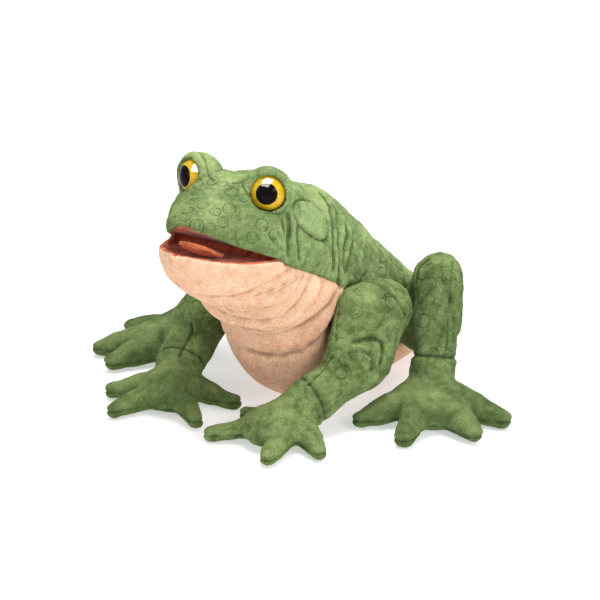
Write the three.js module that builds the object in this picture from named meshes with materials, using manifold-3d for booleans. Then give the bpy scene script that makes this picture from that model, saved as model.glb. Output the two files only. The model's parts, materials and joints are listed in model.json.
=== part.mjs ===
// Frog hand puppet: a plush body sleeve for a hand, a head with a mouth that the hand works,
// four stuffed limbs and button eyes on locking washers.
// Millimetres, +Z up. The frog faces -Y and its left side is +X. The origin is on the surface
// that it sits on, in the middle of the flat of the belly.
import * as THREE from "three";
import { mergeVertices } from "three/addons/utils/BufferGeometryUtils.js";
import Module from "manifold-3d";

const wasm = await Module();
wasm.setup();

// ---------------------------------------------------------------- driving dimensions
const PLUSH = 6; // plush with its thin padding
const CLOTH = 1.2; // lining and mouth cloth
const BOARD = 1.2; // stiffener of the mouth
const HEAD_WALL = 4.5; // thinner plush where the fingers work
const JAW_WALL = 3; // and under the thumb
const LINING_INSET = PLUSH + 2; // outside of the sleeve to its lining
const PALATE_RECESS = 2; // palate cloth above the edge of the upper lip
const FLOOR_RECESS = 3; // mouth floor below the edge of the lower lip
const GAP = 0.4; // air left between pieces that touch
const SWEEP_AIR = 1.2; // air round a piece that turns
const COARSEST = 0.25; // detail that a cut surface may lose
const DEG = Math.PI / 180;

const HINGE = new THREE.Vector3(0, -115, 131); // fold line of the mouth, between its corners
const NECK = new THREE.Vector3(0, -66, 112); // where the puppeteer's wrist bends
const UPPER_TILT = 25.6 * DEG; // palate above the horizontal
const LOWER_TILT = 7.5 * DEG; // mouth floor above the horizontal
const UPPER_LENGTH = 57; // fold line to the tip of the snout
const LOWER_LENGTH = 58; // fold line to the tip of the lower lip

const EYE_RADIUS = 12;
const EYE_DOME = 7.5; // height of the dome over its rim
const PUPIL_RADIUS = 7.6;
const EYE_AT = new THREE.Vector3(30.5, -110.5, 173.5); // middle of the left eye's rim
const EYE_TURN = 26 * DEG; // how far the eyes look outwards
const EYE_LIFT = 10 * DEG; // and upwards
const SOCKET_RADIUS = 17.5;

// Cross-sections from the hand opening to the neck. Each has the place of the side seam, of the
// ridge of the back and of the belly's middle as [y, z], and the half-width at the side seam.
const TRUNK = [
  { seam: [89, 30], top: [87, 54], bottom: [91, 6], half: 39 },
  { seam: [72, 36], top: [74, 68], bottom: [70, 0], half: 43 },
  { seam: [47, 44], top: [53, 84], bottom: [41, -2.5], half: 46 },
  { seam: [16, 54], top: [29, 106], bottom: [4, -2.5], half: 46.5 },
  { seam: [-14, 66], top: [4, 126.5], bottom: [-32, -1.5], half: 46 },
  { seam: [-36, 79], top: [-12, 140.5], bottom: [-60, 12], half: 45 },
  { seam: [-50, 94], top: [-24, 148], bottom: [-76, 36], half: 44.5 },
  { seam: [-59, 108], top: [-35, 152.5], bottom: [-83, 60], half: 44 },
];

// Cross-sections of the skull from the neck to the fold line of the mouth, and then, at a
// distance along the palate, to the tip of the snout.
const SKULL = [
  { seam: [-74, 116], top: [-51, 161], bottom: [-97, 71], half: 44 },
  { seam: [-92, 122.4], top: [-69, 171], bottom: [-99, 82], half: 45.5 },
  { seam: [-108, 128.3], top: [-88, 176], bottom: [-101, 92], half: 45.5 },
  ...[
    [9, [-107, 178.5], 43],
    [24, [-126, 176.5], 37.5],
    [38, [-145, 169.5], 26.5],
    [48, [-158, 163], 17],
    [54, [-165.5, 158], 8.5],
    [UPPER_LENGTH, null, 0],
  ].map(([along, top, half]) => {
    const seam = alongMouth(along, UPPER_TILT);
    return { seam, top: top ?? seam, half };
  }),
];

// The same for the lower jaw, whose sections hang below the mouth floor.
const JAW = [
  [4, [-119, 94], 43],
  [15, [-129, 98], 40.5],
  [29, [-141, 104.5], 34],
  [41, [-153, 113.5], 24.5],
  [51, [-163, 124.5], 13.5],
  [LOWER_LENGTH, null, 0],
].map(([along, bottom, half]) => {
  const seam = alongMouth(along, LOWER_TILT);
  return { seam, bottom: bottom ?? seam, half };
});

const SQUARENESS = 0.82; // under 1, a section fills out its corners

// Limbs as ball-ended links. Points are [x, y, z] with x outwards, and POSED is how far a side's
// hand or foot is shifted outwards and back, as the puppet sits.
const ARM = {
  shoulder: [61.5, -22, 73],
  elbow: [74, -41, 41],
  wrist: [57, -79, 25],
  palm: [48, -109, 12],
  radii: [20, 18.5, 16.5],
};
const LEG = {
  hip: [60, 41, 46],
  knee: [83, 17, 87],
  ankle: [92, -3, 31],
  sole: [103, -24, 12],
  radii: [21, 17.5, 16.5],
};
const POSED = {
  arm: { left: [-10, -5], right: [11, 5] },
  leg: { left: [0, 0], right: [12, 4] },
};
const FINGERS = [77, 27, -58, -119]; // degrees outwards from straight ahead
const TOES = { left: [110, 69, 10, -42], right: [112, 58, 20, -40] };
const FINGER_REACH = 48; // palm's middle to a fingertip
const TOE_REACH = 55;
const FINGER_RADIUS = 8.5; // at the tip
const WEB_RADIUS = 13; // where the digits join
const PAW_SEAM_HEIGHT = 9; // where the top of a paw is sewn to its sole

// Travel is in degrees. As its angle grows, a joint lifts what it carries towards its heading,
// [outwards, forwards]. The ankle twists the foot outwards about the shin instead.
const MOTION = {
  shoulder: { heading: [1, 0.75], travel: [-3, 28] },
  elbow: { heading: [0.75, 0.66], travel: [-2, 26] },
  wrist: { heading: [0, 1], travel: [-4, 20] },
  hip: { heading: [1, 0], travel: [-2, 12] },
  knee: { heading: [0.92, 0.4], travel: [-3, 25] },
  ankle: { heading: null, travel: [-5, 20] },
};

// ---------------------------------------------------------------- geometry tools
function alongMouth(distance, tilt) {
  return [
    HINGE.y - distance * Math.cos(tilt),
    HINGE.z + distance * Math.sin(tilt),
  ];
}

// A closed mesh between an outer and an inner surface, each a function of (u, v) in 0..1.
// With wrap the surfaces are tubes: u = 1 is u = 0.
function shell(around, along, wrap, outer, inner) {
  const columns = wrap ? around : around + 1;
  const points = [];
  for (const surface of [outer, inner])
    for (let j = 0; j <= along; j++)
      for (let i = 0; i < columns; i++)
        points.push(surface(i / around, j / along));
  const at = (side, i, j) =>
    side * columns * (along + 1) + j * columns + (i % columns);
  const index = [];
  const triangle = (a, b, c) => {
    const same = (p, q) => points[p].distanceToSquared(points[q]) < 1e-8;
    if (!same(a, b) && !same(b, c) && !same(c, a)) index.push(a, b, c);
  };
  const quad = (a, b, c, d) => {
    triangle(a, b, c);
    triangle(a, c, d);
  };
  for (let j = 0; j < along; j++)
    for (let i = 0; i < around; i++) {
      quad(at(0, i, j), at(0, i + 1, j), at(0, i + 1, j + 1), at(0, i, j + 1));
      quad(at(1, i, j + 1), at(1, i + 1, j + 1), at(1, i + 1, j), at(1, i, j));
    }
  for (let i = 0; i < around; i++) {
    quad(at(1, i, 0), at(1, i + 1, 0), at(0, i + 1, 0), at(0, i, 0));
    quad(at(0, i, along), at(0, i + 1, along), at(1, i + 1, along), at(1, i, along));
  }
  if (!wrap)
    for (let j = 0; j < along; j++) {
      quad(at(1, 0, j + 1), at(1, 0, j), at(0, 0, j), at(0, 0, j + 1));
      quad(at(0, around, j + 1), at(0, around, j), at(1, around, j), at(1, around, j + 1));
    }
  const geometry = new THREE.BufferGeometry().setFromPoints(points);
  geometry.setIndex(index);
  return facingOut(geometry);
}

function facingOut(geometry) {
  const { position } = geometry.attributes;
  const index = geometry.index.array;
  const corner = (n) => new THREE.Vector3().fromBufferAttribute(position, index[n]);
  let volume = 0;
  for (let n = 0; n < index.length; n += 3)
    volume += corner(n).dot(corner(n + 1).cross(corner(n + 2)));
  if (volume < 0) for (let n = 0; n < index.length; n += 3) index.subarray(n, n + 3).reverse();
  return geometry;
}

function solid(geometry, matrix = new THREE.Matrix4()) {
  const bare = new THREE.BufferGeometry();
  bare.setAttribute("position", geometry.attributes.position.clone());
  bare.setIndex(geometry.index);
  const merged = mergeVertices(bare.applyMatrix4(matrix), 1e-3);
  return new wasm.Manifold(
    new wasm.Mesh({
      numProp: 3,
      vertProperties: merged.attributes.position.array,
      triVerts: new Uint32Array(merged.index.array),
    }),
  );
}

function geometryOf(manifold) {
  const mesh = manifold.simplify(COARSEST).getMesh();
  const geometry = new THREE.BufferGeometry();
  geometry.setAttribute("position", new THREE.BufferAttribute(mesh.vertProperties, 3));
  geometry.setIndex(new THREE.BufferAttribute(mesh.triVerts, 1));
  return geometry;
}

const v3 = ([x, y, z]) => new THREE.Vector3(x, y, z);
const add = (...solids) => solids.reduce((a, b) => a.add(b));
const lerp = THREE.MathUtils.lerp;

// A section at a share v of a list of sections, with its points straight between theirs.
function sectionAt(sections, v) {
  const place = v * (sections.length - 1);
  const i = Math.min(Math.floor(place), sections.length - 2);
  const mix = (a, b) => (Array.isArray(a) ? a.map((x, k) => mix(x, b[k])) : lerp(a, b, place - i));
  const [a, b] = [sections[i], sections[i + 1]];
  const made = { seam: mix(a.seam, b.seam), half: mix(a.half, b.half) };
  for (const edge of ["top", "bottom"]) if (a[edge] && b[edge]) made[edge] = mix(a[edge], b[edge]);
  return made;
}

// A point of a section: angle 0 is the left side seam, a quarter turn the ridge of the back and
// three quarters the belly. Inset moves it inwards.
function onSection(section, angle, inset = 0) {
  const [y, z] = section.seam;
  const above = section.top && (Math.sin(angle) >= 0 || !section.bottom);
  const [edgeY, edgeZ] = above ? section.top : section.bottom;
  const height = Math.hypot(edgeY - y, edgeZ - z);
  const keep = height ? Math.max(height - inset, 0) / height : 0;
  const rise = Math.abs(Math.sin(angle)) ** SQUARENESS * keep;
  const across = Math.sign(Math.cos(angle)) * Math.abs(Math.cos(angle)) ** SQUARENESS;
  return new THREE.Vector3(
    Math.max(section.half - inset, 0) * across,
    y + (edgeY - y) * rise,
    z + (edgeZ - z) * rise,
  );
}

// The sections of a jaw moved back from its lip, for the inside of its skin.
function movedBack(sections, inset, length) {
  return sections.map((s) => {
    const ahead = Math.max(HINGE.y - s.seam[0], 0) / length;
    const back = ([y, z]) => [
      lerp(y, HINGE.y, (ahead * inset) / length),
      lerp(z, HINGE.z, (ahead * inset) / length),
    ];
    return { ...s, seam: back(s.seam), top: s.top && back(s.top), bottom: s.bottom && back(s.bottom) };
  });
}

const clampFloor = (point, height) => point.setZ(Math.max(point.z, height));

// ---------------------------------------------------------------- materials
const plush = new THREE.MeshStandardMaterial({ color: 0x6f9152, roughness: 0.95, metalness: 0 });
const solePlush = new THREE.MeshStandardMaterial({ color: 0x7fa254, roughness: 0.95, metalness: 0 });
const bellyPlush = new THREE.MeshStandardMaterial({ color: 0xe3b394, roughness: 0.95, metalness: 0 });
const mouthCloth = new THREE.MeshStandardMaterial({ color: 0xb4553a, roughness: 0.9, metalness: 0 });
const tongueCloth = new THREE.MeshStandardMaterial({ color: 0xd9744c, roughness: 0.9, metalness: 0 });
const lining = new THREE.MeshStandardMaterial({ color: 0x3f5634, roughness: 0.9, metalness: 0 });
const filling = new THREE.MeshStandardMaterial({ color: 0xf2f0ea, roughness: 1, metalness: 0 });
const board = new THREE.MeshStandardMaterial({ color: 0xb59a70, roughness: 0.8, metalness: 0 });
const iris = new THREE.MeshStandardMaterial({ color: 0xe0ac22, roughness: 0.12, metalness: 0 });
const pupil = new THREE.MeshStandardMaterial({ color: 0x0d0a0b, roughness: 0.08, metalness: 0 });
const washer = new THREE.MeshStandardMaterial({ color: 0xe8e8e4, roughness: 0.5, metalness: 0 });

const frog = new THREE.Group();
function place(name, geometry, material, parent = frog) {
  const mesh = new THREE.Mesh(geometry, material);
  mesh.name = name;
  parent.add(mesh);
  return mesh;
}

// ---------------------------------------------------------------- limb links
// A link from one pivot towards the next: a ball at its root, and at its far end either a ball
// or a seat hollowed for the next link's ball.
function linkGeometry(length, rootRadius, endRadius, seat, around = 14) {
  const profile = [];
  const arc = (centre, radius, from, to, steps) => {
    for (let n = 0; n <= steps; n++) {
      const angle = lerp(from, to, n / steps);
      profile.push(new THREE.Vector2(radius * Math.cos(angle), centre + radius * Math.sin(angle)));
    }
  };
  arc(0, rootRadius, -Math.PI / 2, 0, 4);
  if (seat) {
    const edge = -Math.acos(Math.min(1, (endRadius * 0.82) / seat));
    profile.push(new THREE.Vector2(endRadius, length + seat * Math.sin(edge)));
    arc(length, seat, edge, -Math.PI / 2, 4);
  } else arc(length, endRadius, 0, Math.PI / 2, 4);
  profile[0].x = 0;
  profile[profile.length - 1].x = 0;
  return facingOut(mergeLathe(new THREE.LatheGeometry(profile, around)));
}

// A lathe's seam and poles joined into one closed surface.
function mergeLathe(lathe) {
  lathe.deleteAttribute("normal");
  lathe.deleteAttribute("uv");
  const merged = mergeVertices(lathe, 1e-4);
  const { array } = merged.index;
  const kept = [];
  for (let n = 0; n < array.length; n += 3) {
    const [a, b, c] = array.slice(n, n + 3);
    if (a !== b && b !== c && c !== a) kept.push(a, b, c);
  }
  merged.setIndex(kept);
  return merged;
}

function standing(from, to) {
  const turn = new THREE.Quaternion().setFromUnitVectors(
    new THREE.Vector3(0, 1, 0),
    to.clone().sub(from).normalize(),
  );
  return new THREE.Matrix4().compose(from, turn, new THREE.Vector3(1, 1, 1));
}

function link(from, to, rootRadius, endRadius, seat = 0) {
  return solid(linkGeometry(from.distanceTo(to), rootRadius, endRadius, seat), standing(from, to));
}

// What a link sweeps as it turns about a pivot, with air round it.
function sweep(from, to, rootRadius, endRadius, axis, [low, high]) {
  const swept = [];
  const steps = Math.ceil((high - low) / 15);
  for (let n = 0; n <= steps; n++) {
    const turn = new THREE.Quaternion().setFromAxisAngle(axis, lerp(low, high, n / steps) * DEG);
    const end = to.clone().sub(from).applyQuaternion(turn).add(from);
    swept.push(link(from, end, rootRadius + SWEEP_AIR, endRadius + SWEEP_AIR));
  }
  return wasm.Manifold.hull(swept);
}

function ellipsoid(centre, radii, around = 14, rows = 8) {
  const ball = new THREE.SphereGeometry(1, around, rows);
  const matrix = new THREE.Matrix4().compose(centre, new THREE.Quaternion(), radii);
  return solid(facingOut(mergeLathe(ball)), matrix);
}

function slab(low, high) {
  const size = v3(high).sub(v3(low));
  const box = new THREE.BoxGeometry(size.x, size.y, size.z);
  const middle = v3(low).addScaledVector(size, 0.5);
  return solid(facingOut(mergeLathe(box)), new THREE.Matrix4().setPosition(middle));
}

// A paw: heel ball at its pivot, a pad and four digits, sewn from a top and a sole.
function paw(pivot, middle, side, angles, reach, heel, pad) {
  const root = pivot.clone().lerp(middle, 0.45).setZ(WEB_RADIUS + 1);
  const digits = angles.map((angle) => {
    const a = angle * DEG;
    const tip = new THREE.Vector3(
      middle.x + side * Math.sin(a) * (reach - FINGER_RADIUS),
      middle.y - Math.cos(a) * (reach - FINGER_RADIUS),
      FINGER_RADIUS,
    );
    const digit = linkGeometry(root.distanceTo(tip), WEB_RADIUS, FINGER_RADIUS, 0, 10);
    return solid(digit, standing(root, tip));
  });
  const whole = add(link(pivot, middle.clone().setZ(15), heel, 14), ellipsoid(middle, pad), ...digits);
  const far = 300;
  return {
    top: whole.intersect(slab([-far, -far, PAW_SEAM_HEIGHT + GAP / 2], [far, far, far])),
    sole: whole.intersect(slab([-far, -far, 0], [far, far, PAW_SEAM_HEIGHT - GAP / 2])),
  };
}

const X_AXIS = new THREE.Vector3(1, 0, 0);

function turnAxis({ heading }, side, above, pivot) {
  if (!heading) return above.clone().sub(pivot).normalize().multiplyScalar(side);
  const [outwards, forwards] = heading;
  return new THREE.Vector3(-forwards, -side * outwards, 0).normalize();
}

const carvedFromTrunk = [];
function limb(name, sideName, points, [outwards, back], radii, motions, paws) {
  const side = sideName === "left" ? 1 : -1;
  const [root, middle, end, pad] = points.map(([x, y, z], n) => {
    const share = [0, 0.25, 0.75, 1][n];
    return new THREE.Vector3(side * (x + outwards * share), y + back * share, z);
  });
  const [rootRadius, middleRadius, endRadius] = radii;
  const pivots = [root, middle, end];
  const axes = motions.map((m, n) => turnAxis(m, side, pivots[n - 1], pivots[n]));
  const travel = motions.map((m) => m.travel);
  carvedFromTrunk.push(sweep(root, middle, rootRadius, middleRadius, axes[0], travel[0]));

  const seat = (radius) => radius + GAP;
  const upper = link(root, middle, rootRadius, middleRadius, seat(middleRadius)).subtract(
    sweep(middle, end, middleRadius, endRadius, axes[1], travel[1]),
  );
  const lower = link(middle, end, middleRadius, endRadius, seat(endRadius)).subtract(
    sweep(end, pad.clone().setZ(15), endRadius - 1, 15, axes[2], travel[2]),
  );
  place(`${name[0]}_${sideName}`, geometryOf(upper), plush);
  place(`${name[1]}_${sideName}`, geometryOf(lower), plush);
  const made = paw(end, pad, side, paws.angles, paws.reach, endRadius - 1, paws.pad);
  place(`${name[2]}_top_${sideName}`, geometryOf(made.top), plush);
  place(`${name[2]}_sole_${sideName}`, geometryOf(made.sole), solePlush);
  return { pivots, axes };
}

const joints = {};
for (const side of ["left", "right"]) {
  joints[`arm_${side}`] = limb(
    ["upper_arm", "forearm", "hand"],
    side,
    [ARM.shoulder, ARM.elbow, ARM.wrist, ARM.palm],
    POSED.arm[side],
    ARM.radii,
    [MOTION.shoulder, MOTION.elbow, MOTION.wrist],
    { angles: FINGERS, reach: FINGER_REACH, pad: new THREE.Vector3(24, 25, 15) },
  );
  joints[`leg_${side}`] = limb(
    ["thigh", "shin", "foot"],
    side,
    [LEG.hip, LEG.knee, LEG.ankle, LEG.sole],
    POSED.leg[side],
    LEG.radii,
    [MOTION.hip, MOTION.knee, MOTION.ankle],
    { angles: TOES[side], reach: TOE_REACH, pad: new THREE.Vector3(26, 27, 16) },
  );
}

// ---------------------------------------------------------------- trunk
const HALF_TURN = Math.PI;
const SEAM_GAP_ANGLE = 0.5 * DEG;

// Part of the wall of a body of sections, between two angles.
function skin(sections, from, to, outset, thickness, { around = 16, along, inner = sections, floor = null }) {
  const surface = (list, inset) => (u, v) => {
    const point = onSection(sectionAt(list, v), lerp(from, to, u), inset);
    return floor === null ? point : clampFloor(point, floor + inset);
  };
  return shell(around, along, false, surface(sections, outset), surface(inner, outset + thickness));
}

function sleeve(sections, inset, thickness, along) {
  const surface = (depth) => (u, v) =>
    clampFloor(onSection(sectionAt(sections, v), u * 2 * Math.PI, depth), depth);
  return shell(20, along, true, surface(inset), surface(inset + thickness));
}

const trunkAlong = TRUNK.length - 1;
const upperHalf = [SEAM_GAP_ANGLE, HALF_TURN - SEAM_GAP_ANGLE];
const lowerHalf = [HALF_TURN + SEAM_GAP_ANGLE, 2 * HALF_TURN - SEAM_GAP_ANGLE];
const roomForLimbs = add(...carvedFromTrunk);
for (const [name, angles, material] of [
  ["back_skin", upperHalf, plush],
  ["belly_skin", lowerHalf, bellyPlush],
]) {
  const wall = skin(TRUNK, ...angles, 0, PLUSH, { along: trunkAlong, floor: 0 });
  place(name, geometryOf(solid(wall).subtract(roomForLimbs)), material);
}
place("sleeve_lining", sleeve(TRUNK, LINING_INSET, CLOTH, trunkAlong), lining);

// The hem binds the rim of the hand opening.
const HEM_LENGTH = 7;
const hemSections = [
  TRUNK[0],
  { ...TRUNK[0], ...mapEdges(TRUNK[0], ([y, z]) => [y + HEM_LENGTH, z - 1]) },
].map((s) => mapSection(s, ([y, z]) => [y + GAP, z]));
function mapEdges(section, move) {
  return { seam: move(section.seam), top: move(section.top), bottom: move(section.bottom) };
}
function mapSection(section, move) {
  return { ...section, ...mapEdges(section, move) };
}
place("opening_hem", sleeve(hemSections, -0.5, PLUSH + CLOTH + 1.5, 1), plush);

// The lining's neck is a ball round the wrist, so that it clears both sleeves as it turns.
const NECK_RADIUS = 33;
const neckProfile = (radius) => (u, v) => {
  const azimuth = u * 2 * Math.PI;
  const polar = lerp(48 * DEG, 132 * DEG, v);
  const spine = new THREE.Vector3(0, -Math.cos(29 * DEG), Math.sin(29 * DEG));
  const up = new THREE.Vector3(0, Math.sin(29 * DEG), Math.cos(29 * DEG));
  return NECK.clone()
    .addScaledVector(spine, radius * Math.cos(polar))
    .addScaledVector(up, radius * Math.sin(polar) * Math.cos(azimuth))
    .addScaledVector(X_AXIS, radius * Math.sin(polar) * Math.sin(azimuth));
};
place("neck_lining", shell(20, 6, true, neckProfile(NECK_RADIUS), neckProfile(NECK_RADIUS - CLOTH)), lining);

// ---------------------------------------------------------------- head
const skullAlong = SKULL.length - 1;
const skullInner = movedBack(SKULL, HEAD_WALL + 4, UPPER_LENGTH);
let skullSkin = solid(
  skin(SKULL, 0, HALF_TURN, 0, HEAD_WALL, { along: skullAlong, inner: skullInner, around: 18 }),
);

const THROAT = SKULL.slice(0, 3);
place("throat_skin", skin(THROAT, ...lowerHalf, 0, PLUSH, { along: 2 }), bellyPlush);

// Mouth boards and cloths lie in the plane of the palate and of the floor. Their frames have
// +Y out of the mouth and +Z away from the gap between the lips.
function mouthFrame(tilt, up) {
  const frame = new THREE.Group();
  const out = new THREE.Vector3(0, -Math.cos(tilt), Math.sin(tilt));
  const away = new THREE.Vector3(0, Math.sin(tilt), Math.cos(tilt)).multiplyScalar(up);
  frame.matrix.makeBasis(out.clone().cross(away), out, away).setPosition(HINGE);
  frame.matrix.decompose(frame.position, frame.quaternion, frame.scale);
  frog.add(frame);
  return frame;
}

function mouthSheet(outline, thick) {
  const shape = new THREE.Shape(outline.map(([x, y]) => new THREE.Vector2(x, y)));
  return new THREE.ExtrudeGeometry(shape, { depth: thick, bevelEnabled: false });
}

// Half an outline is [half-width, distance from the fold]; the other half mirrors it.
function mirrored(half) {
  const right = half.map(([x, y]) => [x, y]);
  const left = half.filter(([x]) => x > 0).map(([x, y]) => [-x, y]);
  return [...right, ...left.reverse()];
}

// The outline of a jaw's inside in the plane of its lip, from the fold outwards.
function lipOutline(sections, inset, start, tipInset) {
  const along = (s) => Math.hypot(s.seam[0] - HINGE.y, s.seam[1] - HINGE.z);
  const half = sections
    .map((s) => [s.half - inset, along(s)])
    .filter(([x, y]) => x > 1 && y > start);
  return mirrored([[half[0][0], start], ...half, [0, along(sections.at(-1)) - tipInset]]);
}

const palate = mouthFrame(UPPER_TILT, 1);
const mouthFloor = mouthFrame(LOWER_TILT, -1);
const ahead = (sections) => sections.filter((s) => s.seam[0] < HINGE.y);
const MOUTH_START = 4;
function linedBoard(frame, names, sections, wall, recess) {
  const cloth = lipOutline(sections, wall + 1.6, MOUTH_START, 1);
  const stiff = lipOutline(sections, wall + 5.5, MOUTH_START + 4, 3);
  place(names[0], mouthSheet(cloth, CLOTH), mouthCloth, frame).position.z = recess;
  place(names[1], mouthSheet(stiff, BOARD), board, frame).position.z = recess + CLOTH + GAP;
  return recess + CLOTH + BOARD + GAP * 2;
}
const upperInside = movedBack(ahead(SKULL), HEAD_WALL + 9.5, UPPER_LENGTH);
const lowerInside = movedBack(ahead(JAW), JAW_WALL + 10, LOWER_LENGTH);
const upperTop = linedBoard(
  palate, ["palate_cloth", "palate_board"], upperInside, HEAD_WALL, PALATE_RECESS);
const lowerTop = linedBoard(
  mouthFloor, ["mouth_floor_cloth", "jaw_board"], lowerInside, JAW_WALL, FLOOR_RECESS);

// Finger pocket above the palate and thumb pocket below the floor: pouches open to the wrist.
const FINGERS_POCKET = { half: 29, height: 18.5, from: -10, to: 34, lift: upperTop };
const THUMB_POCKET = { half: 14, height: 16, from: 5, to: 31, lift: lowerTop };
function pouchWall({ half, height, from, to, lift }, inset) {
  return (u, v) => {
    const a = u * 2 * Math.PI;
    const width = v < 0.999 ? Math.cos((v * Math.PI) / 2) ** 0.35 : 0;
    return new THREE.Vector3(
      (half - inset) * width * Math.cos(a),
      lerp(from, to - inset, Math.sin((v * Math.PI) / 2)),
      lift + height / 2 + (height / 2 - inset) * width * Math.sin(a),
    );
  };
}
for (const [name, frame, size] of [
  ["finger_pocket", palate, FINGERS_POCKET],
  ["thumb_pocket", mouthFloor, THUMB_POCKET],
])
  place(name, shell(14, 5, true, pouchWall(size, 0), pouchWall(size, CLOTH)), lining, frame);

// Loose filling rounds the crown over the finger pocket.
function crownFilling() {
  const sections = movedBack(SKULL.slice(3, 8), 9, UPPER_LENGTH);
  const volume = shell(
    12, 5, false,
    (u, v) => onSection(sectionAt(sections, v), u * HALF_TURN, HEAD_WALL + 1),
    (u, v) => {
      const section = sectionAt(sections, v);
      const [y, z] = section.seam;
      return onSection(section, u * HALF_TURN, HEAD_WALL + 1).setY(y).setZ(z);
    },
  );
  palate.updateMatrix();
  const { from } = FINGERS_POCKET;
  const room = shell(
    14, 5, true,
    pouchWall(FINGERS_POCKET, -1),
    () => new THREE.Vector3(0, from, 10),
  );
  const underside = slab([-100, -100, -100], [100, 100, upperTop + 3]).transform(palate.matrix.toArray());
  return solid(volume).subtract(solid(room, palate.matrix)).subtract(underside);
}

// ---------------------------------------------------------------- eyes and ears
let crown = crownFilling();
const skullOuter = solid(
  shell(18, skullAlong, false,
    (u, v) => onSection(sectionAt(SKULL, v), u * HALF_TURN, -GAP),
    (u, v) => onSection(sectionAt(SKULL, v), u * HALF_TURN, 40)),
);

function latheSolid(points, matrix) {
  const profile = points.map(([r, h]) => new THREE.Vector2(r, h));
  return geometryOf(solid(facingOut(mergeLathe(new THREE.LatheGeometry(profile, 20))), matrix));
}

// Points of a dome's arc between two radii, where the dome's rim is at height 0.
function domeArc(from, to, steps, drop = 0) {
  const sphere = (EYE_RADIUS ** 2 + EYE_DOME ** 2) / (2 * EYE_DOME);
  return Array.from({ length: steps + 1 }, (_, n) => {
    const r = lerp(from, to, n / steps);
    return [r, Math.sqrt(sphere ** 2 - r ** 2) - (sphere - EYE_DOME) - drop];
  });
}

const EYE_RIM = 2; // straight edge under the dome
const STEM = { radius: 2.5, length: 11 };
const WASHER = { radius: 7.5, thick: 1.6, at: -7.5 };
for (const [sideName, side] of [["left", 1], ["right", -1]]) {
  const at = EYE_AT.clone().setX(side * EYE_AT.x);
  const look = new THREE.Vector3(
    side * Math.sin(EYE_TURN) * Math.cos(EYE_LIFT),
    -Math.cos(EYE_TURN) * Math.cos(EYE_LIFT),
    Math.sin(EYE_LIFT),
  );
  const pose = standing(at, at.clone().add(look));
  const recess = EYE_DOME - 3.2;
  place(`eye_${sideName}`, latheSolid([
    [0, recess], [PUPIL_RADIUS, recess], ...domeArc(PUPIL_RADIUS, EYE_RADIUS, 4),
    [EYE_RADIUS, -EYE_RIM], [STEM.radius, -EYE_RIM], [STEM.radius, -STEM.length], [0, -STEM.length],
  ], pose), iris);
  place(`pupil_${sideName}`, latheSolid([
    [0, recess + GAP], [PUPIL_RADIUS - GAP, recess + GAP], ...domeArc(PUPIL_RADIUS - GAP, 0, 4),
  ], pose), pupil);
  const washerTop = WASHER.at + WASHER.thick;
  place(`eye_washer_${sideName}`, latheSolid([
    [STEM.radius + GAP, WASHER.at], [WASHER.radius, WASHER.at], [WASHER.radius, washerTop],
    [STEM.radius + GAP, washerTop], [STEM.radius + GAP, WASHER.at],
  ], pose), washer);
  const seatHeight = -EYE_RIM - GAP;
  const room = solid(facingOut(mergeLathe(new THREE.LatheGeometry([
    [0, -STEM.length - GAP], [STEM.radius + GAP * 1.5, -STEM.length - GAP],
    [STEM.radius + GAP * 1.5, WASHER.at - GAP], [WASHER.radius + GAP, WASHER.at - GAP],
    [WASHER.radius + GAP, washerTop + GAP], [STEM.radius + GAP * 1.5, washerTop + GAP],
    [STEM.radius + GAP * 1.5, seatHeight], [EYE_RADIUS + GAP, seatHeight],
    [EYE_RADIUS + GAP, 2], [EYE_RADIUS * 2, 14], [0, 14],
  ].map(([r, h]) => new THREE.Vector2(r, h)), 20))), pose);
  skullSkin = skullSkin.subtract(room);
  crown = crown.subtract(room);
  const centre = at.clone().addScaledVector(look, -7.5);
  const socket = ellipsoid(centre, new THREE.Vector3(SOCKET_RADIUS, SOCKET_RADIUS, SOCKET_RADIUS), 16, 10)
    .subtract(skullOuter)
    .subtract(room);
  place(`eye_socket_${sideName}`, geometryOf(socket.decompose().sort((a, b) => b.volume() - a.volume())[0]), plush);

  // The ear patch is an oval pad that follows the side of the head.
  const EAR = { along: 0.1, angle: 34 * DEG, spanAlong: 0.095, spanAngle: 23 * DEG, swell: 3 };
  const ear = (lift) => (u, v) => {
    const a = u * 2 * Math.PI;
    const angle = EAR.angle + EAR.spanAngle * v * Math.sin(a);
    const onHead = onSection(
      sectionAt(SKULL, EAR.along + EAR.spanAlong * v * Math.cos(a)),
      side > 0 ? angle : HALF_TURN - angle,
      -GAP * 2 - lift * (1 - v * v),
    );
    return onHead;
  };
  place(`ear_patch_${sideName}`, shell(16, 3, true, ear(EAR.swell + 1), (u, v) => {
    const p = ear(0)(u, v);
    return p;
  }), plush);
}
place("head_skin", geometryOf(skullSkin), plush);
place("crown_filling", geometryOf(crown), filling);

// ---------------------------------------------------------------- lower jaw
const jawSkin = skin(JAW, HALF_TURN, 2 * HALF_TURN, 0, JAW_WALL, {
  along: JAW.length - 1,
  inner: movedBack(JAW, JAW_WALL + 3, LOWER_LENGTH),
});
place("jaw_skin", jawSkin, bellyPlush);

// ---------------------------------------------------------------- tongue
const TONGUE = { half: 12, length: 30, thick: 1.5, from: 18, curl: 1.5 };
const tongueSurface = (height) => (u, v) => {
  const roundTip = Math.sqrt(Math.max(1 - Math.max((v - 0.7) / 0.3, 0) ** 2, 0.02));
  return new THREE.Vector3(
    lerp(-1, 1, u) * TONGUE.half * roundTip,
    TONGUE.from + v * TONGUE.length,
    FLOOR_RECESS - GAP * 1.5 - height - TONGUE.curl * v * v,
  );
};
for (const [name, height] of [["tongue_underside", 0], ["tongue_top", TONGUE.thick + GAP]]) {
  const leaf = shell(6, 6, false, tongueSurface(height), tongueSurface(height + TONGUE.thick));
  place(name, leaf, tongueCloth, mouthFloor);
}

export default frog;
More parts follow.
